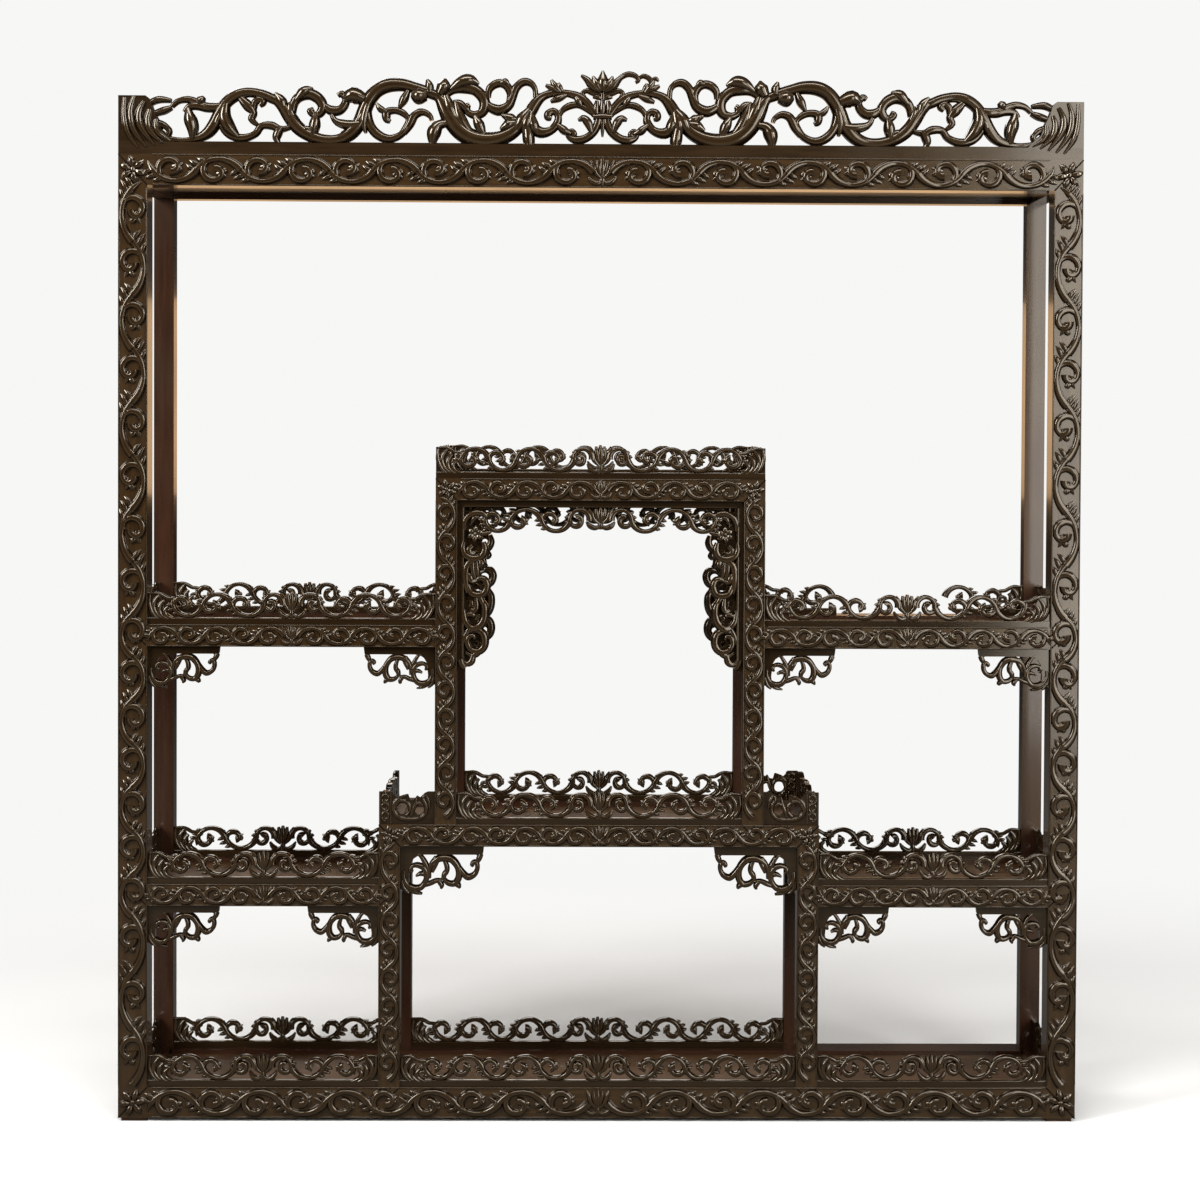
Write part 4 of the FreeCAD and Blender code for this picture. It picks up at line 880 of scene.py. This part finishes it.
# A left bracket of the step's size, its corner at the origin.
bracket_outline = [(0, 0), (84, 0), (83, -8), (80, -12), (76, -9), (24, -9), (18, -10), (13.5, -13),
                   (10.5, -18), (9.5, -25), (8.5, -33), (9.5, -42), (7, -46), (0, -44)]
bracket_drawn = [
    [(3.5, -25.5, 1.5), (3.5, -33, 1.8), (7, -40, 2.0), (14, -43.5, 2.2), (21, -42, 2.0),
     (25.5, -35.5, 1.9), (26, -28, 1.9), (23, -22.5, 1.9), (17, -20, 1.7), (12, -21, 1.3), (10, -25, 1.6),
     (12.5, -27, 0.8)],
    [(1, -35, 1.3), (3.5, -43, 1.6), (8.5, -48, 0.8)],
    [(7, -43, 1.3), (14, -47, 1.4), (22, -49, 0.5)],
    [(28, -29, 1.2), (26.5, -21.5, 1.7), (23, -14.5, 1.5), (20, -10.5, 1.2), (17, -8.5, 0.8)],
    [(29, -33, 1.2), (29, -25.5, 1.5), (32, -18, 1.9), (38, -13.5, 2.3), (45.5, -12.5, 2.5),
     (52, -14.5, 2.4), (57, -20.5, 2.2), (59, -27, 2.3), (58, -34, 2.3), (54, -38.5, 2.0), (48, -38, 1.7),
     (44, -34.5, 1.3)],
    [(44, -15, 1.2), (46.5, -21, 1.6), (46.5, -26, 1.7), (44, -29.5, 1.8), (43, -35, 1.3)],
    [(24, -40.5, 1.2), (30.5, -38, 1.6), (36.5, -35.5, 1.4), (42, -35.5, 1.0)],
    [(38.5, -36, 1.5), (41.5, -40.5, 1.6), (40.5, -43.5, 0.7)],
    [(35.5, -12, 1.3), (31.5, -18, 1.3), (29.5, -23, 0.8)],
    [(54.5, -16, 1.2), (59.5, -23, 1.6), (63, -28, 1.9), (68, -32, 2.1), (74, -29.5, 1.8),
     (77, -24.5, 1.6), (77, -19, 1.5), (74.5, -16.5, 1.4), (72, -19, 1.5), (73.5, -21, 0.7)],
    [(77, -17, 1.3), (79, -13, 1.9), (81, -9, 1.6)],
    [(32, -27, 1.0), (35, -19.5, 1.7), (39.5, -13, 0.7)],
    [(54, -37, 1.4), (58, -40, 1.8), (60, -43, 0.7)],
    [(28, -31, 1.0), (21, -28.5, 1.5), (15.5, -31, 0.6)]]


def pair(left, right, face, level, lines, *slabs):
    """Parts of a left-hand piece and of its twin, with slabs given as (outline, front, back, holes)."""
    place, twin_place = facing((left, face, level)), facing((right, face, level))
    parts = [(carved(lines, BRACKET_DEPTH), place), (carved(mirrored(lines), BRACKET_DEPTH), twin_place)]
    for outline, front, back, holes in slabs:
        twin_holes = [flipped(hole) for hole in holes]
        parts.append((slab(outline, front, back, holes), place))
        parts.append((slab(flipped(outline), front, back, twin_holes), twin_place))
    return parts


bracket_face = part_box("upper_brackets")[0].y + BRACKET_FRONT * MM
for node, width, spans in (
        ("upper_brackets", SHELF_BRACKET, [left_shelf, right_shelf]),
        ("lower_brackets", SHELF_BRACKET, [left_bay, right_bay]),
        ("step_brackets", STEP_BRACKET, [middle_bay])):
    fit = width / STEP_BRACKET
    lines = drawn([[(x * fit, z * fit, half_width * fit) for x, z, half_width in line]
                   for line in bracket_drawn], BRACKET_SWELL)
    bars = ([(x * fit, z * fit) for x, z in bracket_outline], BRACKET_BAR, -BRACKET_DEPTH, ())
    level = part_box(node)[1].z
    fretted(node, [part for left, right in spans
                   for part in pair(left, right, bracket_face, level, lines, bars)])

# Niche aprons: a pierced top piece under the ceiling and a tapering drop down each post, butted at a
# flower; one set at the front and one on the back posts. They are as thick as the brackets.
APRON_HEIGHT = 34.0
APRON_EDGE = 6.5
APRON_BEAD = 0.9
APRON_START = 11 - 20j
APRON_CHORDS = [20.0, 28.0, 32.0, 25.0]
# Base, top and half width of the lotus; place, radius, petals' half width and turn of the flower.
APRON_LOTUS = (-29.0, -7.0, 11.0)
APRON_FLOWER = (18 + 0j, 8.5, 2.8, 90)
DROP_LENGTH = 138.0
DROP_SWELL = 1.55
DROP_GROUND = -2.6
DROP_BACK = 0.4 - BRACKET_DEPTH
# A left drop, measured from the joint under the top piece: scrolls, their ground with holes, and edge.
drop_drawn = [
    [(30, 17, 1.1), (26, 20.5, 1.7), (18, 21.5, 1.8), (10.5, 17.5, 1.7), (7, 11, 1.6), (7.5, 4, 0.9)],
    [(22, 20.5, 1.3), (18, 24, 0.6)],
    [(22, 17.5, 0.9), (17, 16, 1.4), (14.5, 11, 0.8)],
    [(34, 2.5, 0.8), (27, 0.5, 1.5), (21, 0, 1.0)],
    [(6.5, -8, 1.2), (5.5, -14.5, 1.6), (8, -21, 2.0), (15.5, -24.5, 2.2), (24, -22.5, 2.1),
     (27.5, -15.5, 2.0), (26, -8, 1.3)],
    [(15.5, -11.5, 1.3), (11.5, -15.5, 1.8), (14, -19.5, 1.6), (18, -18, 0.9)],
    [(21, -24.5, 1.4), (14, -27, 2.0), (9.5, -33, 2.2), (8.5, -43, 2.2), (9.5, -53, 1.8),
     (10.5, -59, 1.2)],
    [(15.5, -28, 1.1), (15.5, -36, 1.5), (18, -44.5, 0.9)],
    [(19, -26, 1.1), (20, -37, 1.5), (22, -45, 0.8)],
    [(23, -25, 1.2), (24.5, -30, 2.0), (22.5, -33.5, 0.9)],
    [(10.5, -51, 1.4), (14, -59, 2.0), (21, -61.5, 2.1), (27.5, -59, 2.1), (30, -51.5, 2.0),
     (27.5, -45.5, 1.7), (22.5, -44.5, 1.4), (19.5, -46.5, 0.9)],
    [(9.5, -39, 1.2), (12.5, -43, 2.0), (15, -47.5, 1.7), (19.5, -46, 0.9)],
    [(21, -61.5, 1.4), (24, -66, 1.6), (27, -72, 1.5)],
    [(24.5, -66, 1.1), (27.5, -73, 2.0), (27.5, -83, 2.2), (24, -91, 2.4), (17.5, -95, 2.4),
     (12, -93, 1.7)],
    [(18.5, -63, 1.1), (19.5, -73, 1.8), (17, -77.5, 1.7), (13.5, -75.5, 1.2)],
    [(6.5, -76, 1.2), (8, -87, 1.8), (12.5, -93, 2.0)],
    [(17.5, -82, 1.1), (14, -80.5, 1.5), (8, -82, 1.1)],
    [(12, -98, 1.1), (19, -96.5, 1.7), (25.5, -99.5, 2.1), (28, -106.5, 2.2), (26.5, -114, 2.2),
     (21, -118, 2.1), (14.5, -116.5, 1.8), (10.5, -110.5, 1.6), (11.5, -104, 1.5), (16, -102, 1.3),
     (18, -105.5, 0.8)],
    [(12.5, -94, 1.2), (8, -103, 1.5), (6, -110, 1.0)],
    [(24, -117, 1.4), (19, -120.5, 2.0), (14.5, -122, 1.3), (9, -119, 1.0)],
    [(16, -122, 1.4), (14.5, -128, 2.0), (10, -130.5, 1.5), (6, -127, 1.1)],
    [(5.5, 27, 0.9), (5.5, -126, 0.9)],
    [(3.5, -126, 2.2), (5.5, -132, 2.0), (8.5, -135, 1.4)]]
drop_ground = [(5, 26), (16, 20), (24, 12), (23, 0), (25, -10), (25, -20), (20, -27), (22, -36), (27, -47),
               (27, -56), (22, -64), (25, -75), (24, -88), (17, -94), (24, -101), (26, -108), (22, -116),
               (15, -122), (10, -130), (5, -132)]
drop_eyes = [(21, -15.5, 3.0), (21, -53, 4.2), (13.5, -69.5, 3.0), (21, -83.5, 3.2), (20.5, -109.5, 3.0),
             (15, 11, 3.0)]
drop_edge = [(0, APRON_HEIGHT - APRON_EDGE), (APRON_EDGE, APRON_HEIGHT - APRON_EDGE), (APRON_EDGE, -131),
             (4.5, -136), (0, -DROP_LENGTH)]
drop_holes = [eyelet(*eye) for eye in drop_eyes]
drop_lines = drawn(drop_drawn, DROP_SWELL) + flower(*APRON_FLOWER)
apron_low, apron_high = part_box("niche_front_apron")
apron_end = apron_low.x / MM
bead_end = apron_end + APRON_EDGE
bead_level = 0.6 - APRON_EDGE
wave = scroll_run(APRON_START, 0, APRON_CHORDS, GALLERY_RISE, GALLERY_STEM, 1, GALLERY_CURL, GALLERY_SWEEP)
top_lines = wave + mirrored(wave) + palmette(*APRON_LOTUS)
top_lines.append([(bead_end, bead_level, APRON_BEAD), (-bead_end, bead_level, APRON_BEAD)])
for node in ("niche_front_apron", "niche_back_apron"):
    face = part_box(node)[0].y + BRACKET_FRONT * MM
    place = facing((0, face, apron_high.z))
    fretted(node, [
        (carved(top_lines, BRACKET_DEPTH), place),
        (bar(apron_end, -apron_end, -APRON_EDGE, 0, BRACKET_BAR, -BRACKET_DEPTH), place),
        *pair(apron_low.x, -apron_low.x, face, apron_high.z - APRON_HEIGHT * MM, drop_lines,
              (drop_edge, BRACKET_BAR, -BRACKET_DEPTH, ()),
              (drop_ground, DROP_GROUND, DROP_BACK, drop_holes))])
bpy.data.objects.remove(grooved)
bpy.data.objects.remove(rounded)

# Hanger plates and screws: thin brass plates let into the back of the top back rail, each held by two
# countersunk screws and dulled with age.
old_brass = plain_material("old_brass", {"Base Color": (0.30, 0.21, 0.085, 1), "Metallic": 1.0,
                                         "Roughness": 0.42})
paint(old_brass, "hanger_plates", "hanger_screws")

# Studio: a pale floor that fades into the pale surroundings, and soft lamps, with a dim warm one behind
# for the undersides. The floor and surroundings are darker in what the lacquer mirrors.
PALE = (0.93, 0.93, 0.92, 1)
bm = bmesh.new()
bmesh.ops.create_grid(bm, x_segments=1, y_segments=1, size=30)
floor_mesh = bpy.data.meshes.new("floor")
bm.to_mesh(floor_mesh)
bm.free()
floor = bpy.data.objects.new("floor", floor_mesh)
bpy.context.collection.objects.link(floor)
floor_paint = plain_material("floor_paint", {"Roughness": 0.9})
floor_mesh.materials.append(floor_paint)
tree = floor_paint.node_tree
matt = tree.nodes["Principled BSDF"]
seen = tree.nodes.new("ShaderNodeLightPath").outputs["Is Camera Ray"]
shown = add_node(tree, "Mix",
                 {"Factor": seen, "A": (0.08, 0.08, 0.075, 1), "B": (0.80, 0.79, 0.77, 1)}, data_type="RGBA")
feed(tree, matt, {"Base Color": shown.outputs["Result"]})
spot = tree.nodes.new("ShaderNodeTexCoord")
distance = add_node(tree, "VectorMath", {0: spot.outputs["Object"]}, operation="LENGTH")
fade = add_node(tree, "MapRange",
                {"Value": distance.outputs["Value"], "From Min": 0.35, "From Max": 1.6},
                interpolation_type="SMOOTHSTEP")
seen_fade = add_node(tree, "Math", {0: fade.outputs["Result"], 1: seen}, operation="MULTIPLY")
far = add_node(tree, "Emission", {"Color": PALE})
blend = add_node(tree, "MixShader", {"Fac": seen_fade.outputs["Value"], 1: matt.outputs["BSDF"],
                                               2: far.outputs["Emission"]})
feed(tree, tree.nodes["Material Output"], {"Surface": blend.outputs["Shader"]})


def area_light(name, place, target, size, power, colour=(1, 1, 1)):
    """Adds a soft lamp that shines from the place towards the target."""
    data = bpy.data.lights.new(name, "AREA")
    data.shape = "RECTANGLE"
    data.size, data.size_y = size
    data.energy = power
    data.color = colour
    light = bpy.data.objects.new(name, data)
    light.location = place
    light.rotation_mode = "QUATERNION"
    light.rotation_quaternion = (Vector(target) - Vector(place)).to_track_quat("-Z", "Y")
    light.visible_camera = False
    bpy.context.collection.objects.link(light)


area_light("key", (-2.1, -1.6, 1.7), (0, 0, 0.5), (0.8, 1.4), 92)
area_light("fill", (2.2, -1.5, 1.4), (0, 0, 0.5), (0.8, 1.4), 50)
area_light("top", (0, -1.4, 2.9), (0, 0, 0.5), (2.4, 0.7), 70)
area_light("window", (1.3, -2.6, 0.85), (0.2, 0, 0.5), (0.9, 2.0), 30)
area_light("rim", (-0.6, 2.2, 2.4), (0, 0, 0.6), (2.0, 1.2), 38)
area_light("behind", (0, 1.2, 0.74), (0, 0, 0.9), (1.3, 0.3), 1.3, (1.0, 0.62, 0.32))
world = bpy.data.worlds.new("studio")
bpy.context.scene.world = world
world.use_nodes = True
tree = world.node_tree
background = tree.nodes["Background"]
feed(tree, background, {"Color": (0.88, 0.87, 0.85, 1), "Strength": 0.05})
pale = add_node(tree, "Background", {"Color": PALE, "Strength": 1.0})
seen = tree.nodes.new("ShaderNodeLightPath").outputs["Is Camera Ray"]
choose = add_node(tree, "MixShader", {"Fac": seen, 1: background.outputs["Background"],
                                                2: pale.outputs["Background"]})
feed(tree, tree.nodes["World Output"], {"Surface": choose.outputs["Shader"]})

# Camera: the photo's view, almost square on to the front and from a little above the middle, with a
# small shift for the photo's framing.
camera_data = bpy.data.cameras.new("camera")
camera_data.sensor_width = 36.0
camera_data.lens = 74.96
camera_data.shift_x = -0.0249
camera_data.shift_y = -0.0998
camera = bpy.data.objects.new("camera", camera_data)
camera.location = (-0.01007, -2.59307, 0.70685)
camera.rotation_euler = (math.radians(88.630), math.radians(-0.295), math.radians(-0.890))
bpy.context.collection.objects.link(camera)
bpy.context.scene.camera = camera
bpy.context.scene.view_settings.view_transform = "Standard"
